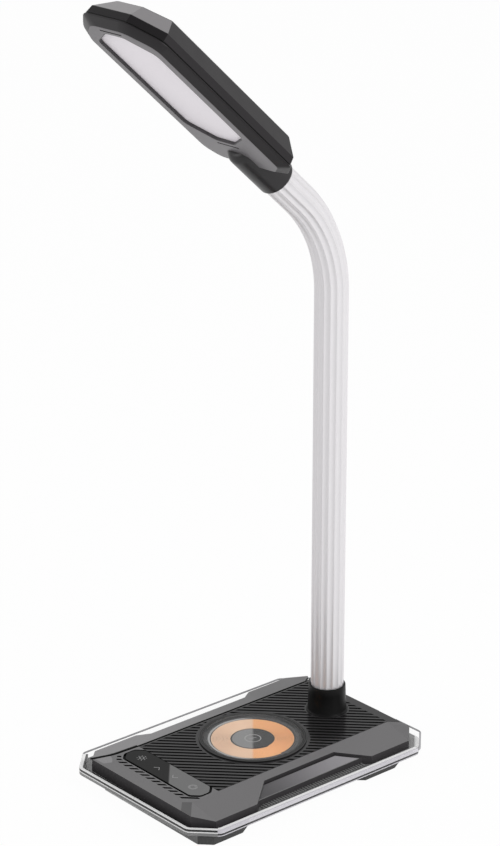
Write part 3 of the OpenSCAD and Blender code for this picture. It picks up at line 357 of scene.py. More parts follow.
def facets(tops, z0):
    """A closed solid below a set of top facets that share their corners; its walls get material 1."""
    bm = bmesh.new()
    at = {}

    def corner(p):
        key = tuple(round(c, 3) for c in p)
        if key not in at:
            at[key] = bm.verts.new(p)
        return at[key]

    for top in tops:
        bm.faces.new([corner(p) for p in top])
    rim = [e for e in bm.edges if len(e.link_faces) == 1]
    foot = {}
    for e in rim:
        for v in e.verts:
            if v not in foot:
                foot[v] = bm.verts.new((v.co.x, v.co.y, z0))
    for e in rim:
        a, b = e.verts
        bm.faces.new((a, b, foot[b], foot[a])).material_index = 1
    first = next(iter(foot))
    loop, last = [first], None
    while True:
        here = loop[-1]
        step = [e.other_vert(here) for e in rim if here in e.verts and e.other_vert(here) is not last]
        last = here
        if step[0] is first:
            break
        loop.append(step[0])
    bm.faces.new([foot[v] for v in loop]).material_index = 1
    return bm


def lathe(bm, profile, centre=(0, 0, 0), materials=None, closed=True):
    """Turns a profile of (radius, height) round the upright axis through centre."""
    steps = 96
    rows = []
    for k in range(steps):
        a = 2 * math.pi * k / steps
        rows.append([bm.verts.new(Vector(centre) + Vector((r * math.cos(a), r * math.sin(a), z)))
                     for r, z in profile])
    n = len(profile)
    for k in range(steps):
        a, b = rows[k], rows[(k + 1) % steps]
        for i in range(n if closed else n - 1):
            f = bm.faces.new((a[i], b[i], b[(i + 1) % n], a[(i + 1) % n]))
            f.smooth = True
            if materials:
                f.material_index = materials[i]


def band(bm, points, width, z0, z1, closed=False):
    """A thin raised line of even width through points."""
    n = len(points)
    rows = []
    for i, p in enumerate(points):
        a = Vector(points[(i - 1) % n] if closed or i else p)
        b = Vector(points[(i + 1) % n] if closed or i < n - 1 else p)
        d = (b - a).normalized()
        side = Vector((-d.y, d.x)) * width / 2
        p = Vector(p)
        rows.append([bm.verts.new((*(p + side), z1)), bm.verts.new((*(p - side), z1)),
                     bm.verts.new((*(p - side), z0)), bm.verts.new((*(p + side), z0))])
    for i in range(n if closed else n - 1):
        a, b = rows[i], rows[(i + 1) % n]
        for k in range(4):
            bm.faces.new((a[k], a[(k + 1) % 4], b[(k + 1) % 4], b[k]))
    if not closed:
        bm.faces.new(rows[0])
        bm.faces.new(list(reversed(rows[-1])))


def boolean(target, cutter, operation="DIFFERENCE"):
    """Cuts target's mesh with cutter, then removes the cutter."""
    bpy.context.view_layer.update()
    change = target.modifiers.new("cut", "BOOLEAN")
    change.operation = operation
    change.solver = "EXACT"
    change.object = cutter
    graph = bpy.context.evaluated_depsgraph_get()
    made = bpy.data.meshes.new_from_object(target.evaluated_get(graph))
    target.modifiers.remove(change)
    old = target.data
    target.data = made
    made.name = old.name
    bpy.data.meshes.remove(old)
    bpy.data.objects.remove(cutter)


def block(name, points, z0, z1, material=GAP_SHADE):
    """An upright block, for cutting."""
    bm = bmesh.new()
    prism(bm, points, z0, z1)
    return put(name, bm, [material])


def wear(o, angle=30.0):
    """Smooth shading up to angle, kept sharp above it."""
    for p in o.data.polygons:
        p.use_smooth = True
    o.data.set_sharp_from_angle(angle=math.radians(angle))


def dress(material, *names):
    for name in names:
        mesh = NODES[name].data
        mesh.materials.clear()
        mesh.materials.append(material)
        for p in mesh.polygons:
            p.material_index = 0


# ------------------------------------------------------------------ base: tray, feet, walls
def tray_plan(d):
    """The tray's outline; its moulded corners are not quite alike."""
    shift = {1: (-1.0, -1.2), 4: (-3.6, -0.7), 5: (0.0, -1.6), 6: (-0.9, -2.2), 7: (-1.6, -1.2)}
    points = []
    for i, (x, y) in enumerate(outline(TRAY_W, TRAY_L, TRAY_CUT, d, TRAY_Y)):
        dx, dy = shift.get(i, (0, 0))
        points.append((x + dx, y + dy))
    return rounded(points, max(0.8, 5.0 - d))


TRAY_RINGS = [(1.1, LOW_Z), (0.25, LOW_Z + 0.1), (0.0, LOW_Z + 0.4), (0.0, 7.4), (0.0, 8.5), (0.0, 9.15),
              (0.0, RIM_Z - 0.25), (0.08, RIM_Z - 0.08), (0.28, RIM_Z), (1.1, RIM_Z), (2.0, RIM_Z),
              (RIM_W - 0.25, RIM_Z), (RIM_W, RIM_Z - 0.3), (RIM_W, FLOOR_Z + 0.4), (RIM_W + 0.4, FLOOR_Z)]
# The rim's edges are painted in bands of light and dark, for the glints and reflections of thick clear plastic.
# There is a letter for each band, from the lower outer edge up, over the rim and down inside: clear, pale, dark,
# line, wall or side
TONES = "cpdlws"
BANDS = {"front": "wwwwpddpppddww", "right": "llsdsssssppsss", "rest": "cccccllllccccc"}
bm = bmesh.new()
rows = loft(bm, [flat(tray_plan(d), z) for d, z in TRAY_RINGS])
place_of = {v: (r, k) for r, row in enumerate(rows) for k, v in enumerate(row)}
for f in bm.faces:
    if len(f.verts) > 4:
        f.material_index = TONES.index("w" if f.calc_center_median().z > 7 else "p")
        continue
    ring = min(place_of[v][0] for v in f.verts)
    places = [place_of[v][1] for v in f.verts]
    k = min(places) if max(places) - min(places) == 1 else max(places)
    # Each corner has six points: the front runs from the left cut (41) to the right one (5), the right to 11
    part = "front" if k >= 41 or k <= 5 else "right" if k <= 11 else "rest"
    f.material_index = TONES.index(BANDS[part][ring])
tray = put("clear_tray_moulded", bm, [TRAY, TRAY_PALE, TRAY_DARK, TRAY_LINE, TRAY_WALL, TRAY_SIDE],
           "base", "tray_clear", "clear_tray")
boolean(tray, block("notch_cutter", square(INLET_X - 7, INLET_X + 7, Y1 + 0.6, Y1 + 22),
                    FLOOR_Z + 0.02, 14, TRAY))
wear(tray, 35)

# Serrated ledges in the side notches
bm = bmesh.new()
for side, (depth, run) in NOTCHES.items():
    start, tooth = NOTCH_F + run + 0.6, 1.9
    inner = BASE_X + side * (DECK_W / 2 - depth)
    n = int((NOTCH_R - NOTCH_F - 2 * run - 1.2) / tooth)
    for k in range(n):
        y = start + k * tooth
        one = bmesh.new()
        prism(one, square(*sorted((inner, inner + side * (depth - 0.2))), y + 1.4, y + 2.5),
              FLOOR_Z, FLOOR_Z + 1.0)
        bevel(one, 0.15)
        made = bpy.data.meshes.new("tooth")
        one.to_mesh(made)
        one.free()
        bm.from_mesh(made)
        bpy.data.meshes.remove(made)
    prism(bm, square(*sorted((inner, inner + side * (depth - 0.4))), start, start + n * tooth),
          FLOOR_Z, FLOOR_Z + 0.4)
wear(put("side_grips_moulded", bm, [GRIP], "base", "grip_dark", "side_grips"), 25)


def foot(name, points, front=False):
    """A foot with softened edges; front gives its front face painted light."""
    bm = bmesh.new()
    prism(bm, points, 0.0, LOW_Z)
    bm.normal_update()
    for f in bm.faces:
        f.material_index = 1 if front and f.normal.y < -0.9 else 0
    bevel(bm, 0.35, angle=20, keep=lambda e: min(v.co.z for v in e.verts) > LOW_Z - 0.1)
    materials = [RUBBER, FOOT_FRONT_LIT] if front else [RUBBER]
    wear(put(name + "_moulded", bm, materials, "base", "foot_rubber", name), 25)


right = BASE_X + TRAY_W / 2 - FOOT_IN
front, back, left = TRAY_Y0 + FOOT_IN, TRAY_Y0 + FOOT_ARM, X0 + FOOT_START
foot("front_foot", [
    (left, front), (right - FOOT_CUT, front), (right, front + FOOT_CUT), (right, back - 8),
    (right - 4.6, back), (right - FOOT_W, back), (right - FOOT_W, front + FOOT_W + 1),
    (right - FOOT_W - 1, front + FOOT_W), (left + 4, front + FOOT_W), (left, front + 2)], front=True)
REAR_START = TRAY_Y1 - FOOT_START - FOOT_L
for name, side, y0 in (("front_left_foot", -1, TRAY_Y0 + FOOT_START), ("rear_left_foot", -1, REAR_START),
                       ("rear_right_foot", 1, REAR_START)):
    y1 = y0 + FOOT_L
    x1 = BASE_X + side * (TRAY_W / 2 - FOOT_IN)
    x0 = x1 - side * FOOT_W
    foot(name, [(x0, y0), (x1 - side * 4.5, y0), (x1, y0 + 5), (x1, y1 - 9), (x1 - side * 4.5, y1), (x0, y1)])

# What stays as packed, and is only given its material
dress(COVER, "under_cover")
dress(STEEL, "weight_plate", "base_screws", "neck_nut", "head_screws", "usb_inlet")
# The deck frame takes the walls' painted shade.
dress(WALL_SHADE, "deck_frame")
dress(BOARD, "charger_board", "touch_board")
dress(CHIP, "board_chips")
dress(FERRITE, "ferrite_disc")
dress(STEEL, *["hose_%d" % k for k in range(1, 9)])
dress(FILM, "reflector_sheet")
dress(LIGHTS, "led_strips", "led_chips")
dress(GUIDE, "light_guide")


# ------------------------------------------------------------------ base: the deck's top
def right_z(x):
    return DECK_TOP - (x - PANEL_R) * (DECK_TOP - WING_EDGE) / (X1 - PANEL_R)


def left_z(x):
    return DECK_TOP - (WING_L - x) * (DECK_TOP - LEFT_EDGE) / (WING_L - X0)


def lift(points, height):
    return [(x, y, height(x)) for x, y in points]


def plate_front(x):
    """The front edge of the opening round the side plate."""
    return -27.8 - 1.2255 * (x - 41.6)


def plate_rear(x, d):
    """Its rear edge, moved out by d."""
    return x - 19.7 + 1.414 * d


def groove_line(x):
    """Edge of the groove beside the left wing, which swings outward towards the front."""
    return [(x, PANEL_F - 0.1), (x - 0.7, Y0 + 14.5), (x - 1.4, Y0 + 10.3), (x - 4.7, Y0)]


def low_edge(e):
    """True for the edges at the wings' foot, which stay sharp."""
    return max(v.co.z for v in e.verts) < FRAME_TOP + 0.1


CREASE_F, CREASE_R = Y0 + 10.5, Y1 - REAR_IN
PLATE_X, PLATE_LOW = 42.6, 0.9
# The front strip has two flat patches of painted light and shade: painted shade at its right end, the left
# wing's painted sheen at its left end
DIM_IN, DIM_OUT = (32.0, -78.0), (38.9, Y0)
LIGHT_EDGE = [(-31.6, -75.6), (-28.4, -78.2), (-30.4, -82.6), (-37.6, Y0 + 1.5)]
SIDE_I, EDGE_HIGHLIGHT_I, GAP_SHADE_I, DIM_I, LIGHT_I = 1, 2, 3, 4, 5
panel_edge = groove_line(PANEL_L)
bm = facets([
    lift([(PANEL_R, CREASE_F), (X1, Y0 + DECK_CUT), (X1, NOTCH_F), (PLATE_X - 1, plate_front(PLATE_X - 1)),
          (PLATE_X - 1, plate_rear(PLATE_X - 1, 1)), (X1, NOTCH_R), (X1, Y1 - DECK_CUT),
          (PANEL_R, CREASE_R)], right_z),
    [(PANEL_R, CREASE_F, DECK_TOP), (X1 - DECK_CUT, Y0, DECK_TOP), (X1, Y0 + DECK_CUT, WING_EDGE)],
    [(PANEL_R, CREASE_R, DECK_TOP), (X1, Y1 - DECK_CUT, WING_EDGE), (X1 - DECK_CUT, Y1, DECK_TOP)],
    flat([(PANEL_R, CREASE_R), (X1 - DECK_CUT, Y1), (PANEL_R + REAR_IN, Y1)], DECK_TOP),
    flat([(PANEL_R, CREASE_F), (PANEL_R, PANEL_F - 0.1)] + panel_edge[:3] + LIGHT_EDGE
         + [panel_edge[3], DIM_OUT, DIM_IN], DECK_TOP),
    flat([(PANEL_R, CREASE_F), DIM_IN, DIM_OUT, (X1 - DECK_CUT, Y0)], DECK_TOP),
    flat(panel_edge[2:] + LIGHT_EDGE[::-1], DECK_TOP),
], FRAME_TOP)
bm.normal_update()
# Painted shade on the right patch, the left wing's painted sheen on the left one
for f in bm.faces:
    c = f.calc_center_median()
    if abs(f.normal.z) > 0.9 and c.z > DECK_TOP - 0.01 and c.y < -76:
        f.material_index = DIM_I if 36 < c.x < 42 else LIGHT_I if c.x < -30 else f.material_index
bevel(bm, 0.2, angle=20, material=EDGE_HIGHLIGHT_I, keep=low_edge)
front_wing = put("front_wing_moulded", bm, [WING, WALL_SHADE, EDGE_HIGHLIGHT, GAP_SHADE, WING_SHADE, LEFT_SHEEN],
                 "base", "wing_grey", "front_wing")


def grooves(name, points, holes=()):
    """Long 45 degree bars, wider at the top, kept inside a plan and outside its round holes."""
    bm = bmesh.new()
    s = math.sqrt(0.5)
    low, high = DECK_TOP - RIB_DEPTH, DECK_TOP + 0.35
    for k in range(-45, 46):
        off = k * RIB_PITCH + RIB_SHIFT
        loft(bm, [[(s * (end - off - w), s * (end + off + w), z) for w, z in (
            (-RIB_LOW / 2, low), (RIB_LOW / 2, low), (RIB_TOP / 2, high), (-RIB_TOP / 2, high))]
            for end in (-140, 140)])
    bars = put(name, bm, [GAP_SHADE])
    zone = block(name + "_zone", points, DECK_TOP - 3, DECK_TOP + 3)
    for x, y, r in holes:
        boolean(zone, block(name + "_hole", circle(x, y, r), DECK_TOP - 6, DECK_TOP + 6))
    boolean(bars, zone, "INTERSECT")
    return bars


def strip_plan(grown, y, r):
    """The touch strip's plan, grown all round and with its corners rounded."""
    return rounded(octagon(TOUCH_W + grown, TOUCH_L + grown, TOUCH_CUT, TOUCH_CUT, TOUCH_X, y), r)


# Slots in front of the touch strip, and the strip's seat
boolean(front_wing, grooves("slots", [
    (-32.4, -71.6), (-28.2, -75.5), (29.2, -75.5), (35.3, -69.4), (35.3, -68.2), (33.6, -68.2),
    (29.7, -72.1), (-27.9, -72.1), (-32.2, -68.7)]))
boolean(front_wing, block("seat", strip_plan(1.5, TOUCH_Y, 3.6), DECK_TOP - 1, DECK_TOP + 3))

wing_edge = groove_line(WING_L)
depth, run = NOTCHES[-1]
fold = (-36.2, -74.12, left_z(-36.2))
bm = facets([
    lift([(WING_L, CREASE_R), (X0, Y1 - DECK_CUT), (X0, NOTCH_R), (X0 + depth, NOTCH_R - run),
          (X0 + depth, NOTCH_F + run), (X0, NOTCH_F), (X0, Y0 + DECK_CUT)], left_z)
    + [fold] + lift([wing_edge[1], wing_edge[0]], left_z),
    [fold, (X0, Y0 + DECK_CUT, LEFT_EDGE), (-39.29, -83.86, 15.28)],
    [(WING_L, CREASE_R, DECK_TOP), (X0 + DECK_CUT, Y1, DECK_TOP), (X0, Y1 - DECK_CUT, LEFT_EDGE)],
], FRAME_TOP)
bevel(bm, 0.2, angle=20, material=EDGE_HIGHLIGHT_I, keep=low_edge)
# The wing's wall facing the panel is painted black as the shade in the groove between them
for f in bm.faces:
    if f.material_index == SIDE_I and f.calc_center_median().x > -41:
        f.material_index = GAP_SHADE_I
put("left_wing_moulded", bm, [LEFT_SHEEN, WALL_SHADE, EDGE_HIGHLIGHT, GAP_SHADE], "base", "wing_grey", "left_wing")

x0, x1 = PLATE_X + 1, X1 - NOTCHES[1][0]
bm = facets([lift([(x0, plate_front(x0)), (x1, plate_front(x1)), (x1, plate_rear(x1, -1)),
                   (x0, plate_rear(x0, -1))], lambda x: right_z(x) - PLATE_LOW)], FRAME_TOP)
bevel(bm, 0.25, angle=20, material=EDGE_HIGHLIGHT_I, keep=low_edge)
put("side_plate_moulded", bm, [PLATE_SHADED, WALL_SHADE, EDGE_HIGHLIGHT], "base", "plate_grey", "side_plate")

# Ribbed panel, open below the pad, at the neck and at the power inlet
bm = bmesh.new()
prism(bm, [(PANEL_L, PANEL_F), (PANEL_R, PANEL_F), (PANEL_R, CREASE_R), (PANEL_R + REAR_IN, Y1),
           (PANEL_L - 3, Y1), (PANEL_L, CREASE_R)], FRAME_TOP, DECK_TOP)
bevel(bm, 0.2, angle=20, keep=low_edge)
panel = put("ribbed_panel_moulded", bm, [PANEL, GAP_SHADE], "base", "panel_dark", "ribbed_panel")
boolean(panel, grooves("ribs", square(PANEL_L + 1.1, PANEL_R - 0.6, PANEL_F - 1, 71.0),
                       [(0, 0, 32.3), (0, NECK_Y, 12.9)]))
for y, r in ((0, 29.0), (NECK_Y, 8.0)):
    boolean(panel, block("panel_hole", circle(0, y, r), 5, 20))
mouth = [(INLET_X + side * (INLET_HALF + INLET_R * math.cos(a)), INLET_Z + side * INLET_R * math.sin(a))
         for side in (1, -1) for a in [math.radians(15 * k - 90) for k in range(13)]]
bm = bmesh.new()
loft(bm, [[(x, y, z) for x, z in mouth] for y in (Y1 - 12, Y1 + 1)])
boolean(panel, put("mouth_cutter", bm, [GAP_SHADE]))

# Touch strip, its sides painted black as the shade in the gap round it, and four touch symbols
STRIP_TOP = DECK_TOP + 0.2
bm = bmesh.new()
prism(bm, strip_plan(-0.5, TOUCH_Y + 0.1, 3.2), DECK_TOP - 1, STRIP_TOP)
bm.normal_update()
for f in bm.faces:
    f.material_index = 0 if abs(f.normal.z) > 0.9 else 1
put("touch_strip_glass", bm, [GLOSS, GAP_SHADE], "base", "touch_gloss", "touch_strip")


def lines(name, material, slot, low, high, *drawn):
    """Thin raised lines, each of (points, width) and closed where it ends with True."""
    bm = bmesh.new()
    for points, width, *closed in drawn:
        band(bm, points, width, low, high, bool(closed))
    put(name, bm, [material], "base", slot)


SUN_X, SUN_Y, POWER_X, POWER_Y = -21.3, -62.9, 23.1, -63
rays = [[(SUN_X + r * math.cos(a), SUN_Y + r * math.sin(a)) for r in (2.0, 2.9)]
        for a in [math.radians(45 * k) for k in range(8)]]
power = [(POWER_X + 2.1 * math.cos(a), POWER_Y + 2.1 * math.sin(a))
         for a in [math.radians(75 + 330 * k / 40) for k in range(41)]]
lines("touch_symbols", ICON, "touch_gloss", STRIP_TOP - 0.1, STRIP_TOP + 0.03,
      (circle(SUN_X, SUN_Y, 1.25, 40), 0.34, True), *[(ray, 0.32) for ray in rays],
      ([(-8.4, -64.7), (-6.3, -62.6), (-4.2, -64.7)], 0.36),
      ([(5.4, -62.4), (7.5, -64.5), (9.6, -62.4)], 0.36))
lines("power_symbol", ICON_DIM, "touch_gloss", STRIP_TOP - 0.1, STRIP_TOP + 0.03,
      (power, 1.3), ([(24.3, -60.7), (23.3, -62.4)], 0.5))
lines("left_wing_shadow", GAP_SHADE, "panel_dark", DECK_TOP - 0.6, DECK_TOP + 0.03,
      ([(x - 0.3, y) for x, y in wing_edge], 1.0))

# ------------------------------------------------------------------ charging pad
bm = bmesh.new()
LINE_Z = WINDOW_TOP - 0.12
ring = [(26.2, 12.94), (28.9, 12.94), (28.9, DECK_TOP), (RING_R - 0.1, DECK_TOP), (RING_R, DECK_TOP + 0.15),
        (RING_R - 0.05, WINDOW_TOP - 0.25), (RING_R - 0.3, WINDOW_TOP), (29.9, WINDOW_TOP), (29.8, LINE_Z),
        (29.55, LINE_Z), (29.45, WINDOW_TOP), (29.0, WINDOW_TOP), (28.9, LINE_Z), (28.65, LINE_Z),
        (28.55, WINDOW_TOP), (28.35, WINDOW_TOP - 0.05), (28.15, WINDOW_TOP - 0.32), (28.15, WINDOW_LOW),
        (26.2, WINDOW_LOW)]
# The outer wall, the foot at deck level and the bottoms of the two fine grooves take the painted shade
lathe(bm, ring, materials=[1 if k in (2, 3, 4, 8, 12) else 0 for k in range(len(ring))])
wear(put("coil_ring_turned", bm, [RING, RING_SHADE], "base", "ring_black", "coil_ring"), 25)
bm = bmesh.new()
lathe(bm, [(0.001, WINDOW_LOW), (WINDOW_R, WINDOW_LOW), (WINDOW_R, WINDOW_TOP - 0.35),
           (WINDOW_R - 0.3, WINDOW_TOP - 0.05), (0.001, WINDOW_TOP - 0.05)], closed=False)
bmesh.ops.remove_doubles(bm, verts=bm.verts, dist=0.01)
wear(put("coil_window_glass", bm, [WINDOW], "base", "window_clear", "coil_window"), 25)

# Matt ring with fine turned lines and a lip round the winding painted pale as a highlight, then the winding as
# one flat spiral
bm = bmesh.new()
ring = [(25.4, 14.9)]
for k in range(3):
    r = 25.5 + 0.82 * k
    ring += [(r, 15.12), (r + 0.5, 15.12), (r + 0.56, 15.04), (r + 0.76, 15.04)]
lathe(bm, ring + [(27.95, 15.12), (27.95, 14.9)])
wear(put("coil_mask", bm, [RING], "base", "ring_black"), 25)
bm = bmesh.new()
lathe(bm, [(24.3, 14.55), (25.4, 14.55), (25.4, 15.0), (25.2, 15.1), (24.5, 15.1), (24.3, 15.0)])
wear(put("coil_lip", bm, [LIP_HIGHLIGHT], "base", "hub_grey"), 25)

COIL_Z, LEAD_Z, ROUND = WINDOW_LOW - 0.08 - WIRE / 2, 9.8, 72
path = [Vector((12.5, 0, LEAD_Z)), Vector((12.5, 0, COIL_Z - 1.2)), Vector((12.5, 0.1, COIL_Z - 0.5))]
for k in range(2, COIL_TURNS * ROUND + 1):
    a = 2 * math.pi * k / ROUND
    r = COIL_IN + (COIL_OUT - WIRE / 2 - COIL_IN) * k / (COIL_TURNS * ROUND)
    path.append(Vector((r * math.cos(a), r * math.sin(a), COIL_Z)))
path += [Vector((COIL_OUT, -0.1, COIL_Z - 0.6)), Vector((COIL_OUT, 0, COIL_Z - 1.2)),
         Vector((COIL_OUT, 0, LEAD_Z))]
wire = []
for i, p in enumerate(path):
    d = (path[min(i + 1, len(path) - 1)] - path[max(i - 1, 0)]).normalized()
    out = Vector((p.x, p.y, 0)).normalized()
    up = d.cross(out).normalized()
    out = up.cross(d).normalized()
    wire.append([p + WIRE / 2 * (math.cos(a) * out + math.sin(a) * up)
                 for a in [2 * math.pi * k / 7 for k in range(7)]])
bm = bmesh.new()
loft(bm, wire)
for f in bm.faces:
    f.smooth = True
put("charging_coil_wound", bm, [COPPER], "base", "coil_copper", "charging_coil")

HUB_TOP = COIL_Z + 0.22
bm = bmesh.new()
lathe(bm, [(0.001, COIL_Z - 0.5), (HUB_R, COIL_Z - 0.5), (HUB_R, HUB_TOP - 0.1), (HUB_R - 0.2, HUB_TOP),
           (0.001, HUB_TOP)], closed=False)
bmesh.ops.remove_doubles(bm, verts=bm.verts, dist=0.01)
wear(put("coil_hub_moulded", bm, [HUB], "base", "hub_grey", "coil_hub"), 25)
lines("charge_symbol", ICON, "hub_grey", HUB_TOP - 0.05, HUB_TOP + 0.04,
      (circle(0, 0, 4.5, 40), 0.55, True), ([(0.8, 2.0), (-0.9, 0.1), (0.9, -0.1), (-0.8, -2.0)], 0.4))

# ------------------------------------------------------------------ neck
bm = bmesh.new()
lathe(bm, [(r, DECK_TOP + z) for r, z in (
    (8.2, 0), (12.0, 0), (12.0, 0.35), (11.8, 0.6), (11.35, 0.75), (11.15, 1.2), (10.75, 12), (10.6, 15.6),
    (10.45, 16.05), (10.1, 16.3), (9.75, 16.25), (9.6, 15.9), (9.6, 3), (8.2, 3))], (0, NECK_Y, 0))
wear(put("neck_collar_turned", bm, [COLLAR], "base", "collar_black", "neck_collar"), 25)

NECK_MID, NECK_BENT = BEND_Z + BEND_R * BEND_A / 2, BEND_Z + BEND_R * BEND_A


def neck_frame(s):
    """Point on the neck's axis at length s, and its forward-lean angle."""
    if s <= BEND_Z:
        return Vector((0, NECK_Y, s)), 0.0
    a = min((s - BEND_Z) / BEND_R, BEND_A)
    p = Vector((0, NECK_Y - BEND_R * (1 - math.cos(a)), BEND_Z + BEND_R * math.sin(a)))
    if s > NECK_BENT:
        p += (s - NECK_BENT) * Vector((0, -math.sin(BEND_A), math.cos(BEND_A)))
    return p, a


PROFILE = []  # angle and radius round the sleeve: a narrow land, then a hollow flute
for k in range(FLUTES):
    for u in [j / 10 for j in range(10)]:
        dip = 0.0 if u < 0.1 else FLUTE_D * math.sin(math.pi * (u - 0.1) / 0.9) ** 0.8
        PROFILE.append((2 * math.pi / FLUTES * (k + u - 0.05), NECK_R - dip))


def neck_ring(s):
    p, a = neck_frame(s)
    side, ahead = Vector((1, 0, 0)), Vector((0, math.cos(a), math.sin(a)))
    return [p + r * (math.cos(t) * side + math.sin(t) * ahead) for t, r in PROFILE]


# The sleeve's skin is cut halfway between the joints; each length spans one joint
BENDS = JOINTS + [NECK_MID]
CUTS = [DECK_TOP + 1.3] + [(a + b) / 2 for a, b in zip(BENDS, BENDS[1:])] + [
    NECK_BENT + STRAIGHT_L - SOCKET_OUT + 5]
for k, at in enumerate(BENDS):
    low, high = CUTS[k], CUTS[k + 1]
    n = max(12, int((high - low) / 1.6))
    bm = bmesh.new()
    rows = loft(bm, [neck_ring(low + (high - low) * i / n) for i in range(n + 1)], ends=False)
    for row, s in [(rows[0], low)] * (k == 0) + [(rows[-1], high)] * (k == 6):
        inner = [bm.verts.new(v.co + (neck_frame(s)[0] - v.co) * 0.14) for v in row]
        for i in range(len(row)):
            bm.faces.new((row[i], row[(i + 1) % len(row)], inner[(i + 1) % len(row)], inner[i]))
    skin = put("sleeve_skin_%d" % (k + 1), bm, [SLEEVE])
    wear(skin, 40)
    start, end = neck_frame(at - 14)[0] * MM, neck_frame(at + 14)[0] * MM
    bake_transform(skin)
    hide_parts(*(["sleeve_%d" % (k + 1)] + (["sleeve_8"] if k == 6 else [])))

# ------------------------------------------------------------------ head, drawn face down with its heel at y = 0
TO_HEAD = (Matrix.Translation(neck_frame(NECK_BENT)[0]) @ Matrix.Rotation(BEND_A - math.pi / 2, 4, "X")
           @ Matrix.Translation((0, -STRAIGHT_L, -NECK_N)))
HEAD_ROUND, LIT_ROUND = (17, 17, 9, 5, 5, 9, 17, 17), 6


def head_plan(d):
    """The head's outline, pulled in by d."""
    w = HEAD_W / 2 - d
    tip_k, heel_k = math.hypot(TIP_L, TIP_W), math.hypot(HEEL_L, HEEL_W)
    tip_w = w - TIP_W + d * (tip_k - TIP_W) / TIP_L
    tip_y = -HEAD_L + TIP_L + d * (tip_k - TIP_L) / TIP_W
    heel_x = w - HEEL_W + d * (heel_k - HEEL_W) / HEEL_L
    heel_y = -HEEL_L - d * (heel_k - HEEL_L) / HEEL_W
    return [(-tip_w, -HEAD_L + d), (tip_w, -HEAD_L + d), (w, tip_y), (w, heel_y), (heel_x, -d), (-heel_x, -d),
            (-w, heel_y), (-w, tip_y)]


def lit_plan(d):
    """The lit opening's outline, pulled in by d."""
    return octagon(LIT_W - 2 * d, LIT_L - 2 * d, 15.5 - 0.6 * d, 10.5 - 0.6 * d, 0, -LIT_HEEL - LIT_L / 2)


def head_loop(d, n):
    """The head's outline at height n, each corner rounded by its own radius."""
    return flat(rounded(head_plan(d), HEAD_ROUND, 6), n)


def lit_loop(d, n):
    """The opening's outline at height n; it starts where head_loop starts, so that both skin well."""
    points = lit_plan(d)
    return flat(rounded(points[-1:] + points[:-1], LIT_ROUND, 6), n)


def on_head(name, bm, materials, slot, *stands_for):
    bm.transform(TO_HEAD)
    return put(name, bm, materials, "head", slot, *stands_for)


def tuck(verts):
    """Draws the tip's left corner in, as seen in the photograph."""
    corner, reach = (-HEAD_W / 2 + 3, -HEAD_L + 8), 16
    for v in verts:
        near = max(0, 1 - math.dist((v.co.x, v.co.y), corner) / reach)
        v.co.x += 3.4 * near
        v.co.y += 1.2 * near


# Bezel: out from the opening's recess, over the lit face, down the sides to the parting groove and back in
bm = bmesh.new()
rows = loft(bm, [
    lit_loop(-1.2, LIT_DEPTH), lit_loop(0.0, LIT_DEPTH - 0.05), lit_loop(-0.25, 0.2), lit_loop(-0.6, 0.0),
    head_loop(BEZEL_IN + 0.3, 0.0), head_loop(BEZEL_IN - 0.3, 0.12), head_loop(0.35, 2.85),
    head_loop(0.0, 3.15), head_loop(0.0, BELT_N - 0.2), head_loop(0.25, BELT_N), head_loop(1.9, BELT_N),
    head_loop(BEZEL_IN + 1.0, 2.2), lit_loop(-2.4, 2.2)], ends=False, closed=True)
ring_of = {v: r for r, row in enumerate(rows) for v in row}
# The wall down into the opening takes painted shade
for f in bm.faces:
    rings = {ring_of[v] for v in f.verts}
    f.material_index = 0 if rings <= {3, 4, 5} else 2 if rings <= {0, 1, 2, 3} else 3
for row in rows[4:12]:
    tuck(row)
bezel = on_head("head_bezel_moulded", bm, [BEZEL, SEAM_SHADE, RECESS_SHADE, HEAD], "bezel_grey", "head_bezel")
for y in (-LIT_HEEL + 3.1, -LIT_HEEL - LIT_L - 3.1):
    bm = bmesh.new()
    prism(bm, square(-8.5, 8.5, y - 0.5, y + 0.5), -1, 0.6)
    bm.transform(TO_HEAD)
    boolean(bezel, put("slit", bm, [SEAM_SHADE]))
wear(bezel, 12)

# Cover: upright band, bevels and flat top, and the parting groove below it, its lowest faces painted black as
# the groove's shade.
# At the tip the sloped faces carry painted highlight and painted sheen, and the upright band painted shade
bm = bmesh.new()
loft(bm, [flat(head_plan(d), n) for d, n in (
    (2.2, BELT_N + 0.05), (1.5, BELT_N + 0.2), (0.9, BELT_N + 0.85), (1.3, BAND_N - 0.2), (1.6, BAND_N + 0.15),
    (COVER_IN - 0.6, HEAD_T - 0.5), (COVER_IN + 0.2, HEAD_T), (COVER_IN + 4, HEAD_T))])
tuck(v for v in bm.verts if v.co.z < BAND_N - 0.1)
TIP_I, CORNER_I, HEAD_SHADE_I, SEAM_SHADE_I = 1, 2, 3, 4
for f in bm.faces:
    c = f.calc_center_median()
    if c.z < BELT_N + 0.6:
        f.material_index = SEAM_SHADE_I
    elif BAND_N < c.z < HEAD_T - 0.3:
        f.material_index = TIP_I if c.y < -HEAD_L + 5 else CORNER_I if c.y < -HEAD_L + 15 else 0
    elif c.z < BAND_N and c.y < -HEAD_L + 12:
        f.material_index = HEAD_SHADE_I
cover = on_head("head_cover_moulded", bm, [HEAD, HEAD_TIP_HIGHLIGHT, HEAD_CORNER_SHEEN, HEAD_SHADE, SEAM_SHADE],
                "cover_grey", "head_cover")
wear(cover, 12)
# A black band at the back of the parting groove, for the shade in it
bm = bmesh.new()
loft(bm, [head_loop(1.9, BELT_N - 0.4), head_loop(1.9, BELT_N + 0.5)])
tuck(bm.verts)
on_head("head_seam", bm, [SEAM_SHADE], "cover_grey")

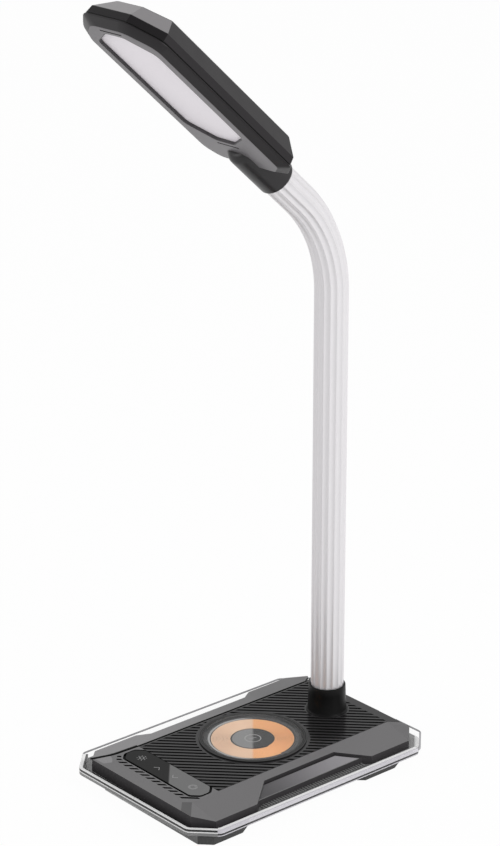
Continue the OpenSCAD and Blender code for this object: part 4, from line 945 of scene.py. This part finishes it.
bm = bmesh.new()
loft(bm, [flat(lit_plan(d), LIT_DEPTH + n) for d, n in ((-1.0, 1.35), (-1.0, 0.1), (-0.7, 0.02))])
wear(on_head("diffuser_frosted", bm, [LIT], "diffuser_white", "diffuser"))

# Socket on the neck's axis
ALONG = TO_HEAD @ Matrix.Translation((0, SOCKET_OUT, NECK_N)) @ Matrix.Rotation(math.pi / 2, 4, "X")
END_R = 4.5
round_end = [(SOCKET_R - END_R + END_R * math.cos(a), SOCKET_L - END_R + END_R * math.sin(a))
             for a in [math.radians(15 * k) for k in range(7)]]
bm = bmesh.new()
lathe(bm, [(9.6, 0.4), (9.75, 0.1), (10.0, 0.0), (10.3, 0.1), (SOCKET_R, 0.5)] + round_end
      + [(0.001, SOCKET_L), (0.001, 8.0), (9.6, 8.0)])
bmesh.ops.remove_doubles(bm, verts=bm.verts, dist=0.005)
bm.transform(ALONG)
wear(put("head_socket_turned", bm, [SOCKET, SEAM_SHADE], "head", "socket_dark", "head_socket"), 25)

# ------------------------------------------------------------------ stage: floor, world, lights, camera
mesh = bpy.data.meshes.new("floor")
mesh.from_pydata([(-6, -6, 0), (6, -6, 0), (6, 6, 0), (-6, 6, 0)], [], [(0, 1, 2, 3)])
floor = bpy.data.objects.new("floor", mesh)
SCENE.collection.objects.link(floor)


def seen_white(tree, share):
    """share for rays that come from the camera, a glossy or a clear surface, else 0."""
    path = node(tree, "ShaderNodeLightPath")
    first = node(tree, "ShaderNodeMath", operation="MAXIMUM")
    second = node(tree, "ShaderNodeMath", operation="MAXIMUM")
    scale = node(tree, "ShaderNodeMath", operation="MULTIPLY")
    scale.inputs[1].default_value = share
    tree.links.new(path.outputs["Is Camera Ray"], first.inputs[0])
    tree.links.new(path.outputs["Is Glossy Ray"], first.inputs[1])
    tree.links.new(first.outputs[0], second.inputs[0])
    tree.links.new(path.outputs["Is Transmission Ray"], second.inputs[1])
    tree.links.new(second.outputs[0], scale.inputs[0])
    return scale.outputs[0]


m = bpy.data.materials.new("floor_white")
m.use_nodes = True
t = m.node_tree
b = t.nodes["Principled BSDF"]
b.inputs["Base Color"].default_value = (0.9, 0.9, 0.9, 1)
b.inputs["Roughness"].default_value = 0.9
b.inputs["Specular IOR Level"].default_value = 0.1
glow = node(t, "ShaderNodeEmission")
pick = node(t, "ShaderNodeMixShader")
t.links.new(seen_white(t, 0.965), pick.inputs[0])
t.links.new(b.outputs[0], pick.inputs[1])
t.links.new(glow.outputs[0], pick.inputs[2])
t.links.new(pick.outputs[0], t.nodes["Material Output"].inputs["Surface"])
floor.data.materials.append(m)

world = bpy.data.worlds.new("studio")
SCENE.world = world
world.use_nodes = True
t = world.node_tree
t.nodes.clear()
lit = node(t, "ShaderNodeBackground", Strength=0.75)
white = node(t, "ShaderNodeBackground", Strength=1.0)
pick = node(t, "ShaderNodeMixShader")
out = node(t, "ShaderNodeOutputWorld")
t.links.new(seen_white(t, 1.0), pick.inputs[0])
t.links.new(lit.outputs[0], pick.inputs[1])
t.links.new(white.outputs[0], pick.inputs[2])
t.links.new(pick.outputs[0], out.inputs["Surface"])


def softbox(name, place, aim, width, height, power):
    lamp = bpy.data.lights.new(name, "AREA")
    lamp.shape = "RECTANGLE"
    lamp.size, lamp.size_y, lamp.energy = width, height, power
    o = bpy.data.objects.new(name, lamp)
    o.location = place
    o.rotation_euler = (Vector(aim) - Vector(place)).to_track_quat("-Z", "Y").to_euler()
    SCENE.collection.objects.link(o)


softbox("key", (1.5, 0.35, 1.0), (0, 0, 0.22), 1.0, 1.2, 14)
softbox("fill", (-1.0, -1.3, 1.2), (0, 0, 0.25), 1.0, 1.0, 4.5)

PITCH, TURN = math.radians(20.299), math.radians(49.109)
ahead = Vector((-math.sin(TURN) * math.cos(PITCH), math.cos(TURN) * math.cos(PITCH), -math.sin(PITCH)))
right = Vector((math.cos(TURN), math.sin(TURN), 0))
up = right.cross(ahead)
camera = bpy.data.objects.new("camera", bpy.data.cameras.new("camera"))
SCENE.collection.objects.link(camera)
camera.matrix_world = (Matrix.Translation((0.99455, -0.86336, 0.69127))
                       @ Matrix((right, up, -ahead)).transposed().to_4x4())
camera.data.sensor_width = 36
camera.data.lens = 111.13
camera.data.clip_end = 50
SCENE.camera = camera
SCENE.view_settings.view_transform = "Standard"
